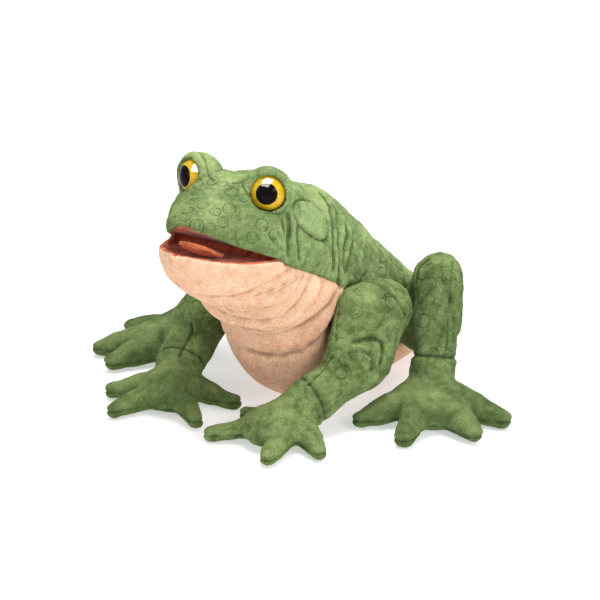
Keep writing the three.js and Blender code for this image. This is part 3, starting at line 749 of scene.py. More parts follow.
def build_body():
    """The grid of the trunk, head and jaw, with the fields that tell its pieces apart."""
    grid = Grid(*BODY_BOX, BODY_CELL)
    x, y, z = grid.all()
    trunk = Loft(TRUNK, grid)
    upper, lower = Loft(UPPER_SECTIONS, grid), Loft(LOWER_SECTIONS, grid)
    d = smooth_min(upper.distance(), lower.distance(), 1.0)
    grid.d = smooth_min(trunk.distance(), d, 4.0)
    grid.d = smooth_max(grid.d, behind_rim(y, z), 4.0)
    skull = grid.d.copy()
    domes = np.full(grid.size, 1e3, np.float32)
    for side in (1, -1):
        look, at = eye_look(side), eye_at(side)
        dome = Ball(at - DOME_BACK * look, DOME_RADIUS)
        where, p = grid.window(*dome.box)
        domes[where] = dome(*p)
        grid.add(dome, 6)
        grid.add(Ring(at - 0.3 * look, look, EYE_RADIUS + 1.4, 2.3), 2.5)
        grid.cut(Tube(at, look, EYE_RADIUS + 0.25, -2.4), 1.2)
    for name in PAWS:
        for side_name in SIDES:
            for link, _ in limb_links(name, side_name)[:3]:
                where, p = grid.window(*link.box)
                clear = 1.5 if name == "arm" else 3.5  # the thigh turns against the flank
                grid.d[where] = smooth_max(grid.d[where], clear - link(*p), 2.5)
    grid.d = smooth_max(grid.d, -z, 3.0)
    outer = grid.d.copy()

    palate, floor = above(UPPER_TILT, y, z), above(LOWER_TILT, y, z)
    gap = np.maximum(palate, -floor)
    recess = np.maximum(palate - PALATE_RECESS, -floor - FLOOR_RECESS)
    recess = smooth_max(smooth_max(recess, outer + LIP + 1.5, 2.0), y - HINGE[1] - 4, 3.0)
    mouth = smooth_min(gap, recess, 2.0)
    grid.d = smooth_max(grid.d, -mouth, 4.0)

    sleeve = trunk.distance(LINING_INSET, past=False)
    spine = (y - NECK[1]) * NECK_WAY[1] + (z - NECK[2]) * NECK_WAY[2]
    sleeve = smooth_max(sleeve, spine + 4, 4.0)
    sleeve = smooth_max(sleeve, LINING_INSET - z, 3.0)
    room = Grid(*BODY_BOX, BODY_CELL)
    room.d = sleeve
    out, up = -np.cos(UPPER_TILT), np.sin(UPPER_TILT)
    axes = np.array([[1, 0, 0], [0, out, up], [0, up, -out]])
    fingers = HINGE + axes[1] * 6 + axes[2] * 14.5
    room.add(Ball(NECK, 32), 8)
    room.add(Ball(fingers, (28, 27, 8.5), axes), 8)
    room.add(Cone(NECK + (0, -10, 8), fingers, 17, 9), 6)
    out, up = -np.cos(LOWER_TILT), np.sin(LOWER_TILT)
    axes = np.array([[1, 0, 0], [0, out, up], [0, up, -out]])
    thumb = HINGE + axes[1] * 12 - axes[2] * 14.5
    room.add(Ball(thumb, (14, 18, 7.5), axes), 4)
    room.add(Cone(NECK + (0, -14, -8), thumb, 14, 8), 5)
    # Stay inside the plush, and clear of the mouth cloths and their boards.
    cavity = smooth_max(room.d, outer + 5.5, 2.0)
    cavity = smooth_max(cavity, 5.6 - np.maximum(palate, -floor) , 2.0)
    cavity = np.where(y > 92, np.minimum(cavity, sleeve), cavity)
    grid.d = smooth_max(grid.d, -cavity, 1.0)
    fields = {
        "outer": outer, "mouth": mouth, "cavity": cavity, "palate": palate - 0 * x,
        "dome": domes - skull, "room": room.d,
    }
    return grid, fields


def throat_folds(p):
    """Folds of cloth under the side seam that hang across the throat: how far they stand out, how deep a point
    is in the crease under one, which the material paints as shade, and how far its crest sags over the crease."""
    height, crease_shade, sag = np.zeros(len(p)), np.zeros(len(p)), np.zeros((len(p), 3))
    below = over_side_seam(p)
    for seam, under, hang, turn in FOLDS:
        way = np.array(under, float) - seam
        length = np.linalg.norm(way)
        way /= length
        up = np.array([-way[1], way[0]]) * (-1 if way[0] < 0 else 1)
        rel = p[:, 1:] - seam
        along = rel @ way / length
        wobble = 1.6 * np.sin(p[:, 0] / 11.0 + seam[0]) + 0.6 * np.sin(p[:, 0] / 5.7 + seam[1])
        q = rel @ up + wobble * 0.8
        fade = np.clip((along + 0.12) / 0.25, 0, 1) * np.clip((1.7 - along) / 0.5, 0, 1)
        fade = fade * np.clip(-below / 4.0 + 0.4, 0, 1)
        fade = fade * np.clip(0.85 + 0.35 * np.sin(p[:, 0] / 17.0 + 2 * seam[1]), 0.3, 1)
        roll = bump_of(q - 0.9 * turn, turn)
        slope = np.exp(-np.maximum(q, 0) / (turn * 2.2)) / (1 + np.exp(-q / 0.8))
        valley = bump_of(q + 0.7 * turn, 0.65 * turn)
        height += fade * (hang * (0.6 * roll + 0.4 * slope) - min(0.55 * hang, 1.8) * valley)
        # Painted shade in the crease under each fold; it goes only into the colour, not the shape.
        crease_shade += fade * bump_of(q + 0.6 * turn, 0.6 * turn) * min(hang / 3, 1.2)
        lean = fade * hang * bump_of(q - 0.3 * turn, 0.8 * turn)
        sag[:, 1:] -= 0.35 * lean[:, None] * up
    return height, crease_shade, sag


def emboss_body(skin, grid, fields):
    p, n = skin.v, skin.normals()
    outer = grid.sample(fields["outer"], p)
    cavity = grid.sample(fields["cavity"], p)
    mouth = grid.sample(fields["mouth"], p)
    plush = np.clip(1 - (np.minimum(-outer, 4) - 1.0) / 1.5, 0, 1)  # 1 on the outside
    seam = over_side_seam(p)
    green = np.clip(seam / 3 + 0.5, 0, 1)
    t = along_neck(p)
    relief = np.zeros(len(p))
    sway = 0.8 * np.stack([LUMPS(p), LUMPS(p + 40), LUMPS(p + 90)], 1)
    for side in (1, -1):
        ear = curve(mirror(EAR, side), closed=True)
        middle = ear.mean(0)
        edge = off_line(p, ear, 6.0)
        radius = np.linalg.norm(p - middle, axis=1)
        inside = (radius < 16.5) & (edge_side(p, ear, middle) < 0)
        relief += np.where(inside, 1.6 * np.clip(edge / 2.5, 0, 1) ** 0.6, 0)
        relief -= 1.5 * bump_of(edge, 0.9)
        relief += groove(p, curve(mirror(CHEEK_SEAM, side)), 0.9, 1.1)
        for line, width, depth in CREASES:
            line = curve(mirror(line, side))
            relief += groove(p + sway, line, 1.35 * width, 0.85 * depth)
        look, at = eye_look(side), eye_at(side)
        up = (p - at) @ look
        near = np.linalg.norm(p - at, axis=1) < DOME_RADIUS + 9
        relief -= np.where(near, 1.0 * bump_of(up + 3.3, 0.8), 0) * (up < 2)
    dome = grid.sample(fields["dome"], p)
    relief -= 0.8 * bump_of(dome, 1.0) * (np.abs(p[:, 1] + 105) < 30) * (p[:, 2] > 150)
    relief -= 0.9 * bump_of(seam * 0.88, 0.9) * (p[:, 1] > -112) * (np.abs(p[:, 0]) > 25)
    rim = behind_rim(p[:, 1], p[:, 2])
    relief += 0.9 * bump_of(rim + 3.4, 2.6) - 1.3 * bump_of(rim + 7.3, 0.9)
    folds, crease_shade, sag = throat_folds(p)

    wanted = green * np.clip(n[:, 2] * 1.2 + 0.55, 0, 1)
    snout = np.clip((-p[:, 1] - 113) / 10, 0, 1) * (dome > 2)
    back = np.clip((p[:, 1] + 40) / 18, 0, 1) * np.clip((70 - p[:, 1]) / 20, 0, 1)
    wanted = wanted * np.maximum(snout, back) * (plush > 0.9)
    rings = ring_relief(p, n, wanted, 5) * 0.95
    fine = (0.55 * LUMPS(p) + 0.16 * PUCKER(p)) * (0.45 + 0.55 * green) + 0.05 * NAP(p)
    calm = 1 - np.clip(1 - (p[:, 2] / 3), 0, 1)
    inside_amount = 1 - plush
    total = plush * (relief + folds + rings + fine * (0.45 + 0.55 * calm))
    total += inside_amount * 0.12 * PUCKER(p)
    total *= 1 - np.clip(1 - p[:, 2] / 1.5, 0, 1) * (n[:, 2] < -0.6)
    # The relief column only colours the plush: painted shade in its hollows and in the creases under the
    # throat folds, and a painted highlight on its ridges.
    skin.column["relief"] = plush * (relief * 0.8 - crease_shade + rings * 1.3 + 0.12 * PUCKER(p))
    skin.column["rest"] = p * MM
    # Which way the surface faced at rest; the material lays painted light, mixed with airbrushed dye, on what
    # faces up.
    skin.column["up"] = n[:, 2]
    # Darkening column: on the green, painted shade that darkens the snout towards its tip; on the peach,
    # darker behind the neck towards the belly.
    skin.column["dye_and_shade"] = np.where(
        green > 0.5, 1.2 * np.clip((-p[:, 1] - 106) / 24, 0, 1), 0.55 * np.clip((10 - t) / 14, 0, 1)
    )
    skin.v = p + n * total[:, None] + sag * plush[:, None]


def edge_side(p, ring, middle):
    """Below 0 inside a closed line that is nearly flat."""
    axis = np.zeros(3)
    for a, b in zip(ring, np.roll(ring, -1, axis=0)):
        axis += np.cross(a - middle, b - middle)
    axis /= np.linalg.norm(axis)
    u = unit(np.cross(axis, (0, 0, 1)))
    w = np.cross(axis, u)
    flat = np.stack([(ring - middle) @ u, (ring - middle) @ w], 1)
    angle = np.arctan2(flat[:, 1], flat[:, 0])
    order = np.argsort(angle)
    reach = np.hypot(*flat.T)[order]
    q = np.stack([(p - middle) @ u, (p - middle) @ w], 1)
    at = np.arctan2(q[:, 1], q[:, 0])
    limit = np.interp(at, angle[order], reach, period=2 * math.pi)
    return np.hypot(*q.T) - limit


# ---------------------------------------------------------------- pieces
def piece(name, skin, material, nodes=(), normals=True):
    """A mesh object of a skin, with the columns that its material reads."""
    mesh = bpy.data.meshes.new(name)
    count, quads = len(skin.v), len(skin.f)
    mesh.vertices.add(count)
    mesh.vertices.foreach_set("co", (skin.v * MM).astype(np.float32).reshape(-1))
    mesh.loops.add(quads * 4)
    mesh.loops.foreach_set("vertex_index", skin.f.astype(np.int32).reshape(-1))
    mesh.polygons.add(quads)
    mesh.polygons.foreach_set("loop_start", np.arange(quads, dtype=np.int32) * 4)
    mesh.update(calc_edges=True)
    mesh.shade_smooth()
    for key in ("relief", "up", "dye_and_shade"):
        if key in skin.column:
            layer = mesh.attributes.new(key, "FLOAT", "POINT")
            layer.data.foreach_set("value", skin.column[key].astype(np.float32))
    rest = skin.column.get("rest", skin.v * MM)
    layer = mesh.attributes.new("rest", "FLOAT_VECTOR", "POINT")
    layer.data.foreach_set("vector", rest.astype(np.float32).reshape(-1))
    if normals and "normal" in skin.column:
        mesh.normals_split_custom_set_from_vertices(skin.column["normal"].tolist())
    mesh.materials.append(material)
    obj = bpy.data.objects.new(name, mesh)
    bpy.context.collection.objects.link(obj)
    if nodes:
        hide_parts(*nodes)
    return obj


def centres(skin):
    return skin.v[skin.f].mean(1)


def blend_neck_back(obj):
    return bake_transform(obj)


def blend_neck_front(obj):
    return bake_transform(obj)


def blend_jaw(obj):
    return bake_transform(obj)


def make_body(look):
    grid, fields = build_body()
    whole = Skin(grid)
    whole.relax([0.5, -0.52] * 3)
    middle = centres(whole)
    cavity = grid.sample(fields["cavity"], middle)
    outer = grid.sample(fields["outer"], middle)
    inner = (cavity < 1.0) & (outer < -1.5)
    lining, skin = whole.part(inner), whole.part(~inner)

    skin.subdivide()
    skin.relax([0.5, -0.5])
    reach = 0.26 * grid.cell
    lip = lambda p: grid.sample(fields["outer"], p) + turned_in(p)
    mouth_side = grid.sample(fields["mouth"], skin.v) < 1.3
    held = skin.v.copy()
    skin.snap(lip, reach)
    skin.v = np.where(mouth_side[:, None], skin.v, held)
    held = skin.v.copy()
    skin.snap(over_side_seam, reach)
    skin.v = np.where(mouth_side[:, None], held, skin.v)
    skin.snap(lambda p: along_neck(p) - NECK_CUT, reach)
    emboss_body(skin, grid, fields)
    skin.column["normal"] = skin.normals()

    p = skin.column["rest"][skin.f].mean(1) / MM
    outer = grid.sample(fields["outer"], p)
    mouth = (grid.sample(fields["mouth"], p) < 1.6) & (outer < -turned_in(p))
    palate = grid.sample(fields["palate"], p)
    hem = behind_rim(p[:, 1], p[:, 2]) > -7.3
    green = over_side_seam(p) > 0
    ahead = along_neck(p) > NECK_CUT
    jaw = (p[:, 1] < JAW_CUT) & ~green
    upper_mouth = mouth & (over_bisector(p) > 0)
    ears = {}
    for side_name, side in SIDES.items():
        ring = curve(mirror(EAR, side), closed=True)
        centre = ring.mean(0)
        near = np.linalg.norm(p - centre, axis=1) < 18
        inside = np.zeros(len(p), bool)
        inside[near] = edge_side(p[near], ring, centre) < 0
        ears[side_name] = inside & ~mouth
    dome = grid.sample(fields["dome"], p)
    sockets = {
        s: (dome < 0) & (p[:, 2] > 150) & (p[:, 0] * side > 0) & (p[:, 1] < -80)
        for s, side in SIDES.items()
    }
    special = mouth | ears["left"] | ears["right"] | sockets["left"] | sockets["right"]

    def cut(name, mask, material, slot, nodes):
        return piece(name, skin.part(mask), look[material], nodes)

    blend_neck_back(cut("back_plush", green & ~ahead & ~hem, "plush", "plush_green", ["back_skin"]))
    blend_neck_back(
        cut("belly_plush", ~green & ~ahead & ~hem, "peach", "plush_peach", ["belly_skin"])
    )
    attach(cut("opening_binding", hem, "plush", "plush_green", ["opening_hem"]), "body")
    blend_neck_front(
        cut("head_plush", green & ahead & ~special, "plush", "plush_green", ["head_skin"])
    )
    blend_neck_front(
        cut("throat_plush", ~green & ahead & ~jaw & ~mouth, "peach", "plush_peach", ["throat_skin"])
    )
    blend_jaw(cut("chin_plush", jaw & ~mouth, "peach", "plush_peach", ["jaw_skin"]))
    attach(cut("palate_lining", upper_mouth, "mouth", "mouth_cloth", ["palate_cloth"]), "head")
    blend_jaw(
        cut("mouth_floor", mouth & ~upper_mouth, "mouth", "mouth_cloth", ["mouth_floor_cloth"])
    )
    for s in SIDES:
        blend_neck_front(
            cut(f"ear_{s}", ears[s], "plush", "plush_green", [f"ear_patch_{s}"])
        )
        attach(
            cut(f"eyelid_{s}", sockets[s], "plush", "plush_green", [f"eye_socket_{s}"]), "head"
        )

    lining.relax([0.5, -0.5] * 2)
    reach = 0.4 * grid.cell
    lining.snap(lambda q: along_neck(q) - NECK_CUT, reach)
    lining.snap(lambda q: q[:, 1] - JAW_CUT, reach)
    lining.column["rest"] = lining.v * MM
    lining.column["normal"] = lining.normals()
    q = centres(lining)
    ahead, pocket = along_neck(q) > NECK_CUT, q[:, 1] < JAW_CUT
    upper = over_bisector(q) > 0

    def line(name, mask, node):
        return piece(name, lining.part(mask), look["lining"], [node])

    blend_neck_back(line("sleeve_cloth", ~ahead, "sleeve_lining"))
    blend_neck_front(line("neck_cloth", ahead & ~pocket, "neck_lining"))
    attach(line("finger_pouch", pocket & upper, "finger_pocket"), "head")
    blend_jaw(line("thumb_pouch", pocket & ~upper, "thumb_pocket"))
    return grid, fields


def turned_in(p):
    """How far the plush reaches round the lip at a point."""
    tip = np.clip((-p[:, 1] - 146) / 12, 0, 1)
    return np.where(over_bisector(p) > 0, LIP + (SNOUT_LIP - LIP) * tip, LOWER_LIP)


def over_bisector(p):
    """Height over the middle of the mouth's gap."""
    return above(UPPER_TILT, p[:, 1], p[:, 2]) + above(LOWER_TILT, p[:, 1], p[:, 2])


def make_filling(grid, fields, look):
    """Loose fibre over the finger pocket, under the crown."""
    x, y, z = grid.all()
    shape = Grid(*BODY_BOX, BODY_CELL)
    shape.d = smooth_max(fields["outer"] + 6.5, 3.0 - fields["room"], 3.0)
    shape.d = smooth_max(shape.d, 9.0 - fields["palate"], 2.0)
    shape.d = smooth_max(shape.d, y + 86, 3.0)
    for side in (1, -1):
        look_way, at = eye_look(side), eye_at(side)
        shape.cut(Cone(at + look_way * 4, at - look_way * 12, 14, 12), 2.0)
    skin = Skin(shape)
    skin.relax([0.5, -0.5] * 3)
    skin.v = skin.v + skin.normals() * (0.5 * PUCKER(skin.v))[:, None]
    obj = piece("crown_fibre", skin, look["filling"], ["crown_filling"])
    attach(obj, "head")


def emboss_limb(skin, kind, side_name):
    p, n = skin.v, skin.normals()
    pivots, middle, tips = limb_frame(kind, side_name)
    side = SIDES[side_name]
    relief = np.zeros(len(p))
    seam = p[:, 2] - SOLE_SEAM
    low = np.clip((22 - p[:, 2]) / 6, 0, 1)
    relief -= 0.95 * bump_of(seam, 0.95) * low
    shift = pivots[1] - PIVOT[("elbow" if kind == "arm" else "knee") + "_left"] * (side, 1, 1)
    for line, width, depth in LIMB_LINES[kind]:
        line = curve(mirror(line, side) + shift)
        relief += groove(p, line, width, depth)
    end = pivots[2]
    down = unit(end - pivots[1])
    ankle = (p - end) @ down
    axis_away = np.linalg.norm((p - end) - ankle[:, None] * down, axis=1)
    cuff = ankle - WRIST_SEAM[kind]
    relief -= np.where(axis_away < 26, 1.3 * bump_of(cuff, 1.1), 0)
    relief += np.where(axis_away < 26, 0.6 * bump_of(cuff - 3.0, 1.6), 0)
    relief += 0.4 * bump_of(seam - 2.8, 1.8) * low
    wanted = np.clip((p[:, 2] - 36) / 22, 0, 0.75) * np.clip(0.3 + n[:, 1] * -0.5 + n[:, 0] * side * 0.8, 0, 1)
    rings = 0.8 * ring_relief(p, n, wanted, 20 + len(kind) + (side > 0) * 7)
    fine = 0.75 * LUMPS(p) + 0.17 * PUCKER(p) + 0.07 * NAP(p)
    ground = 1 - np.clip(1 - p[:, 2] / 1.5, 0, 1) * (n[:, 2] < -0.6)
    # The relief column only colours the plush: painted shade in its hollows and a painted highlight on its
    # ridges.
    skin.column["relief"] = relief * 0.7 + rings * 1.2 + 0.18 * PUCKER(p)
    skin.column["rest"] = p * MM
    # Which way the surface faced at rest; the material lays painted light, mixed with airbrushed dye, on what
    # faces up.
    skin.column["up"] = n[:, 2]
    on_paw = np.clip((36 - p[:, 2]) / 14, 0, 1)
    # Darkening column: the paws darker, as darker dye; the near arm darker towards its top; the other limbs
    # darker all over.
    if (kind, side) == ("arm", 1):
        skin.column["dye_and_shade"] = 0.6 * np.clip((p[:, 2] - 45) / 30, 0, 1) + 0.45 * on_paw
    else:
        skin.column["dye_and_shade"] = 0.8 + 0.6 * on_paw
    skin.v = p + n * ((relief + rings + fine * 0.8) * ground)[:, None]
    skin.column["normal"] = skin.normals()


# Seams and creases of the left limbs, (x, y, z), with width and depth.
LIMB_LINES = {
    "arm": [
        ([(44.8, -37.9, 87.3), (48.8, -33.5, 89.5), (52.7, -31.2, 90.7), (61.0, -30.7, 92.0),
          (67.0, -30.6, 91.2), (73.1, -29.4, 88.1), (78.5, -27.7, 82.3), (81, -25, 74)], 1.0, 1.0),
        ([(47.0, -44.5, 86.6), (49.3, -53.5, 74.9), (53.0, -60.8, 66.7), (56.8, -62.9, 59.8),
          (60.2, -58.6, 55.3)], 0.9, 0.7),
        ([(60.2, -58.6, 55.3), (57, -66, 50), (53.9, -73.7, 46.2), (52.3, -83.2, 42.7),
          (50.6, -93.3, 38.2)], 1.0, 1.4),
        ([(60.9, -60.8, 55.2), (66.0, -58.8, 60.2), (73.7, -52.3, 62.5), (79.5, -48.8, 60.4),
          (84.0, -50.0, 54.3), (84.0, -54.3, 46.4)], 1.7, 1.5),
        ([(63.3, -62.3, 51.6), (69.4, -59.3, 54.4), (75.8, -57.7, 53.0), (79.0, -59.3, 48.4),
          (79.5, -61.2, 43.9)], 1.6, 0.9),
    ],
    "leg": [
        ([(95.1, 16.0, 101.9), (97.8, 10.2, 94.2), (99.0, 7.8, 85.1), (99.8, 5.7, 75.9),
          (100.7, 1.9, 67.2), (101.8, -1.5, 58.4), (103, -4, 46)], 0.9, 0.6),
        ([(78.0, 9.0, 103.5), (73.5, 6.0, 99.5), (72.3, 1.3, 93.7), (72.3, 0.2, 85.9)], 1.5, 1.3),
    ],
}
WRIST_SEAM = {"arm": 3.0, "leg": -7.0}  # past the wrist or ankle, where the paw is sewn on


def make_limb(kind, side_name, look):
    links = limb_links(kind, side_name)
    (root, bend, end), middle, tips = limb_frame(kind, side_name)
    down = unit(end - bend)
    upper, lower, hand = [f"{n}_{side_name}" for n in LIMB_NAMES[kind]]

    def shape(some):
        skin = Skin(limb_grid(kind, side_name, some))
        skin.relax([0.5, -0.52] * 3)
        skin.snap(lambda p: p[:, 2] - SOLE_SEAM + 100 * (p[:, 2] > 30), 0.5 * LIMB_CELL)
        emboss_limb(skin, kind, side_name)
        return skin, skin.column["rest"][skin.f].mean(1) / MM

    def cut(name, skin, mask, material, slot, node):
        obj = piece(name, skin.part(mask), look[material], [node])
        return obj

    def at_end(obj):
        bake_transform(obj)

    if kind == "leg":
        skin, p = shape(links[:1])
        everything = np.ones(len(skin.f), bool)
        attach(cut(f"{upper}_plush", skin, everything, "limb", "plush_green", upper), upper)
        skin, p = shape(links[1:])
        above_cut = np.zeros(len(p), bool)
    else:
        skin, p = shape(links)
        above_cut = (p - bend) @ down < 0.5 * np.linalg.norm(end - bend)
    sole = p[:, 2] < SOLE_SEAM
    paw = ((p - end) @ down > WRIST_SEAM[kind]) | (p[:, 2] < 16)
    above_cut &= ~paw
    if kind == "arm":
        way = unit(unit(bend - root) + down)
        sleeve = cut(f"{upper}_plush", skin, above_cut, "limb", "plush_green", upper)
        start, stop = [tuple((bend + way * t) * MM) for t in (-12, 12)]
        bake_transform(sleeve)
        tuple(start)
        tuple(stop)
    at_end(cut(f"{lower}_plush", skin, ~above_cut & ~paw, "limb", "plush_green", lower))
    top, under = [f"{LIMB_NAMES[kind][2]}_{layer}_{side_name}" for layer in ("top", "sole")]
    at_end(cut(f"{top}_plush", skin, paw & ~sole, "limb", "plush_green", top))
    at_end(cut(f"{under}_plush", skin, paw & sole, "sole", "plush_sole", under))


LIMB_NAMES = {"arm": ("upper_arm", "forearm", "hand"), "leg": ("thigh", "shin", "foot")}


def sheet_skin(rows):
    """Quads over a grid of points, (rows, columns, 3)."""
    skin = Skin.__new__(Skin)
    n, m = rows.shape[:2]
    skin.v = rows.reshape(-1, 3).copy()
    at = np.arange(n * m).reshape(n, m)
    skin.f = np.stack([at[:-1, :-1], at[:-1, 1:], at[1:, 1:], at[1:, :-1]], -1).reshape(-1, 4)
    skin.column = {}
    return skin


def lathe(name, profile, at, way, material, node, segments=96):
    """A turned solid, from (radius, height) points along its axis."""
    u = unit(np.cross(way, (0, 0, 1)))
    w = np.cross(way, u)
    angle = np.linspace(0, 2 * math.pi, segments, endpoint=False)
    around = np.cos(angle)[:, None] * u + np.sin(angle)[:, None] * w
    rows = np.array([[at + a * r + way * h for a in around] for r, h in profile])
    closed = np.concatenate([rows, rows[:, :1]], axis=1)
    mesh = bpy.data.meshes.new(name)
    skin = sheet_skin(closed)
    mesh.from_pydata((skin.v * MM).tolist(), [], skin.f[:, ::-1].tolist())
    work = bmesh.new()
    work.from_mesh(mesh)
    bmesh.ops.remove_doubles(work, verts=work.verts, dist=1e-6)
    bmesh.ops.recalc_face_normals(work, faces=work.faces)
    for edge in work.edges:
        edge.smooth = edge.calc_face_angle(0) < rad(35)
    work.to_mesh(mesh)
    work.free()
    mesh.shade_smooth()
    mesh.set_sharp_from_angle(angle=rad(35))
    mesh.materials.append(material)
    obj = bpy.data.objects.new(name, mesh)
    bpy.context.collection.objects.link(obj)
    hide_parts(node)
    return obj


PUPIL_RADIUS, STEM = 7.2, (2.5, 9.4)


def make_eye(side_name, look):
    side = SIDES[side_name]
    at, way = eye_at(side), eye_look(side)
    sphere = (EYE_RADIUS**2 + EYE_DOME**2) / (2 * EYE_DOME)

    def dome(r0, r1, drop, steps=14):
        return [
            (r, math.sqrt(sphere**2 - r * r) - (sphere - EYE_DOME) - drop)
            for r in np.linspace(r0, r1, steps)
        ]

    iris = [
        *dome(0, PUPIL_RADIUS - 0.2, 0.9), *dome(PUPIL_RADIUS - 0.15, EYE_RADIUS - 0.35, 0),
        (EYE_RADIUS - 0.1, -0.15), (EYE_RADIUS, -0.5), (EYE_RADIUS, -2), (STEM[0], -2),
        (STEM[0], -STEM[1]), (0, -STEM[1]),
    ]
    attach(lathe(f"eye_iris_{side_name}", iris, at, way, look["iris"],
                  f"eye_{side_name}"), "head")
    pupil = [*dome(0, PUPIL_RADIUS, -0.06), *dome(PUPIL_RADIUS - 0.25, 0, 0.8)]
    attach(lathe(f"eye_pupil_{side_name}", pupil, at, way, look["pupil"],
                  f"pupil_{side_name}"), "head")


TONGUE = {"from": 15.0, "length": 28.5, "half": 13.0, "thick": 2.5, "curl": 7.6}


def make_tongue(look):
    """Two leaves of cloth sewn together round the edge, curled up at the tip."""
    u, v = np.meshgrid(np.linspace(-1, 1, 61), np.linspace(0, 1, 121))
    tip = np.sqrt(np.maximum(1 - np.clip((v - 0.7) / 0.3, 0, 1) ** 2, 0))
    half = TONGUE["half"] * (0.72 + 0.28 * np.sin(np.clip(v * 1.5, 0, 1) * math.pi / 2)) * tip
    x = u * half
    rise = TONGUE["curl"] * np.clip((v - 0.1) / 0.9, 0, 1) ** 1.7
    trough = 1.4 * (u * half / TONGUE["half"]) ** 2 * np.clip((v - 0.1) * 2, 0, 1)
    level = 2.6 - FLOOR_RECESS + rise + trough
    puff = np.sqrt(np.maximum(1 - u * u, 0)) * np.sqrt(np.clip((1 - v) * 14, 0, 1))
    thick = TONGUE["thick"] * (0.25 + 0.75 * puff) * np.clip(0.45 + 5 * v, 0, 1)
    reach = TONGUE["from"] + TONGUE["length"] * v - 0.16 * rise * v

    def leaf(name, low, high, node):
        """A closed leaf between two heights, as shares of its thickness."""
        surfaces = []
        for share in (low, high):
            lift = level + share * thick
            rows = np.zeros((*u.shape, 3))
            for i in np.ndindex(u.shape):
                y, z = along_mouth(reach[i], LOWER_TILT, lift[i])
                rows[i] = x[i], y, z
            surfaces.append(rows)
        under, over = surfaces
        skin = sheet_skin(np.concatenate([under, over[:, ::-1], under[:, :1]], axis=1))
        obj = piece(name, skin, look["tongue"], [node])
        layer = obj.data.attributes.get("relief") or obj.data.attributes.new(
            "relief", "FLOAT", "POINT"
        )
        # A dark line just inside the edge: painted shade of the tuck where the two leaves are sewn together.
        edge = np.concatenate([1 - np.abs(u), 1 - np.abs(u), 1 - np.abs(u[:, :1])], axis=1)
        layer.data.foreach_set("value", (-bump_of(edge.reshape(-1) - 0.16, 0.05)).astype("f4"))
        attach(obj, "tongue")
        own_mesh(obj)

    root = (0, *[c * MM for c in along_mouth(TONGUE["from"], LOWER_TILT, 0.6 - FLOOR_RECESS)])
    leaf("tongue_under_leaf", -0.95, -0.04, "tongue_underside")
    leaf("tongue_top_leaf", 0.04, 0.95, "tongue_top")


# ---------------------------------------------------------------- materials
def linear(r, g, b):
    """Scene colour of an sRGB one given in 255ths."""
    return tuple(
        (c / 12.92 if c <= 0.04045 else ((c + 0.055) / 1.055) ** 2.4)
        for c in (r / 255, g / 255, b / 255)
    ) + (1.0,)


class Look:
    """A node material that is put together line by line."""

    def __init__(self, name):
        self.material = bpy.data.materials.new(name)
        self.material.use_nodes = True
        self.tree = self.material.node_tree
        self.shader = self.tree.nodes["Principled BSDF"]

    def node(self, kind, settings=None, **inputs):
        made = self.tree.nodes.new(kind)
        for key, value in (settings or {}).items():
            setattr(made, key, value)
        for key, value in inputs.items():
            self.give(made.inputs[key.replace("_", " ")], value)
        return made

    def give(self, socket, value):
        if isinstance(value, bpy.types.NodeSocket):
            self.tree.links.new(value, socket)
        else:
            socket.default_value = value

    def set(self, **inputs):
        for key, value in inputs.items():
            self.give(self.shader.inputs[key.replace("_", " ")], value)

    def column(self, name, kind="Fac"):
        return self.node("ShaderNodeAttribute", {"attribute_name": name}).outputs[kind]

    def noise(self, where, size, detail=3.0, rough=0.55):
        """Noise from 0 to 1 with features of a size in mm."""
        made = self.node(
            "ShaderNodeTexNoise", Vector=where, Scale=1 / (size * MM), Detail=detail,
            Roughness=rough,
        )
        return made.outputs["Fac"]

    def ramp(self, value, *stops):
        """A value turned to a colour or a grey at the stops (position, colour or grey)."""
        made = self.node("ShaderNodeValToRGB", Fac=value)
        elements = made.color_ramp.elements
        while len(elements) < len(stops):
            elements.new(0.5)
        for element, (position, colour) in zip(elements, stops):
            element.position = position
            grey = not isinstance(colour, tuple)
            element.color = (colour, colour, colour, 1) if grey else colour
        return made.outputs["Color"]

    def mix(self, share, a, b, blend="MIX"):
        made = self.node("ShaderNodeMix", {"data_type": "RGBA", "blend_type": blend})
        for socket, value in zip((made.inputs[0], made.inputs[6], made.inputs[7]), (share, a, b)):
            self.give(socket, value)
        return made.outputs[2]

    def span(self, value, low, high, to_low=0.0, to_high=1.0):
        made = self.node("ShaderNodeMapRange", {"interpolation_type": "SMOOTHSTEP"})
        for socket, v in zip(made.inputs, (value, low, high, to_low, to_high)):
            self.give(socket, v)
        return made.outputs["Result"]

    def bump(self, height, strength, distance, normal=None):
        made = self.node("ShaderNodeBump", Height=height, Strength=strength, Distance=distance)
        if normal is not None:
            self.give(made.inputs["Normal"], normal)
        return made.outputs["Normal"]


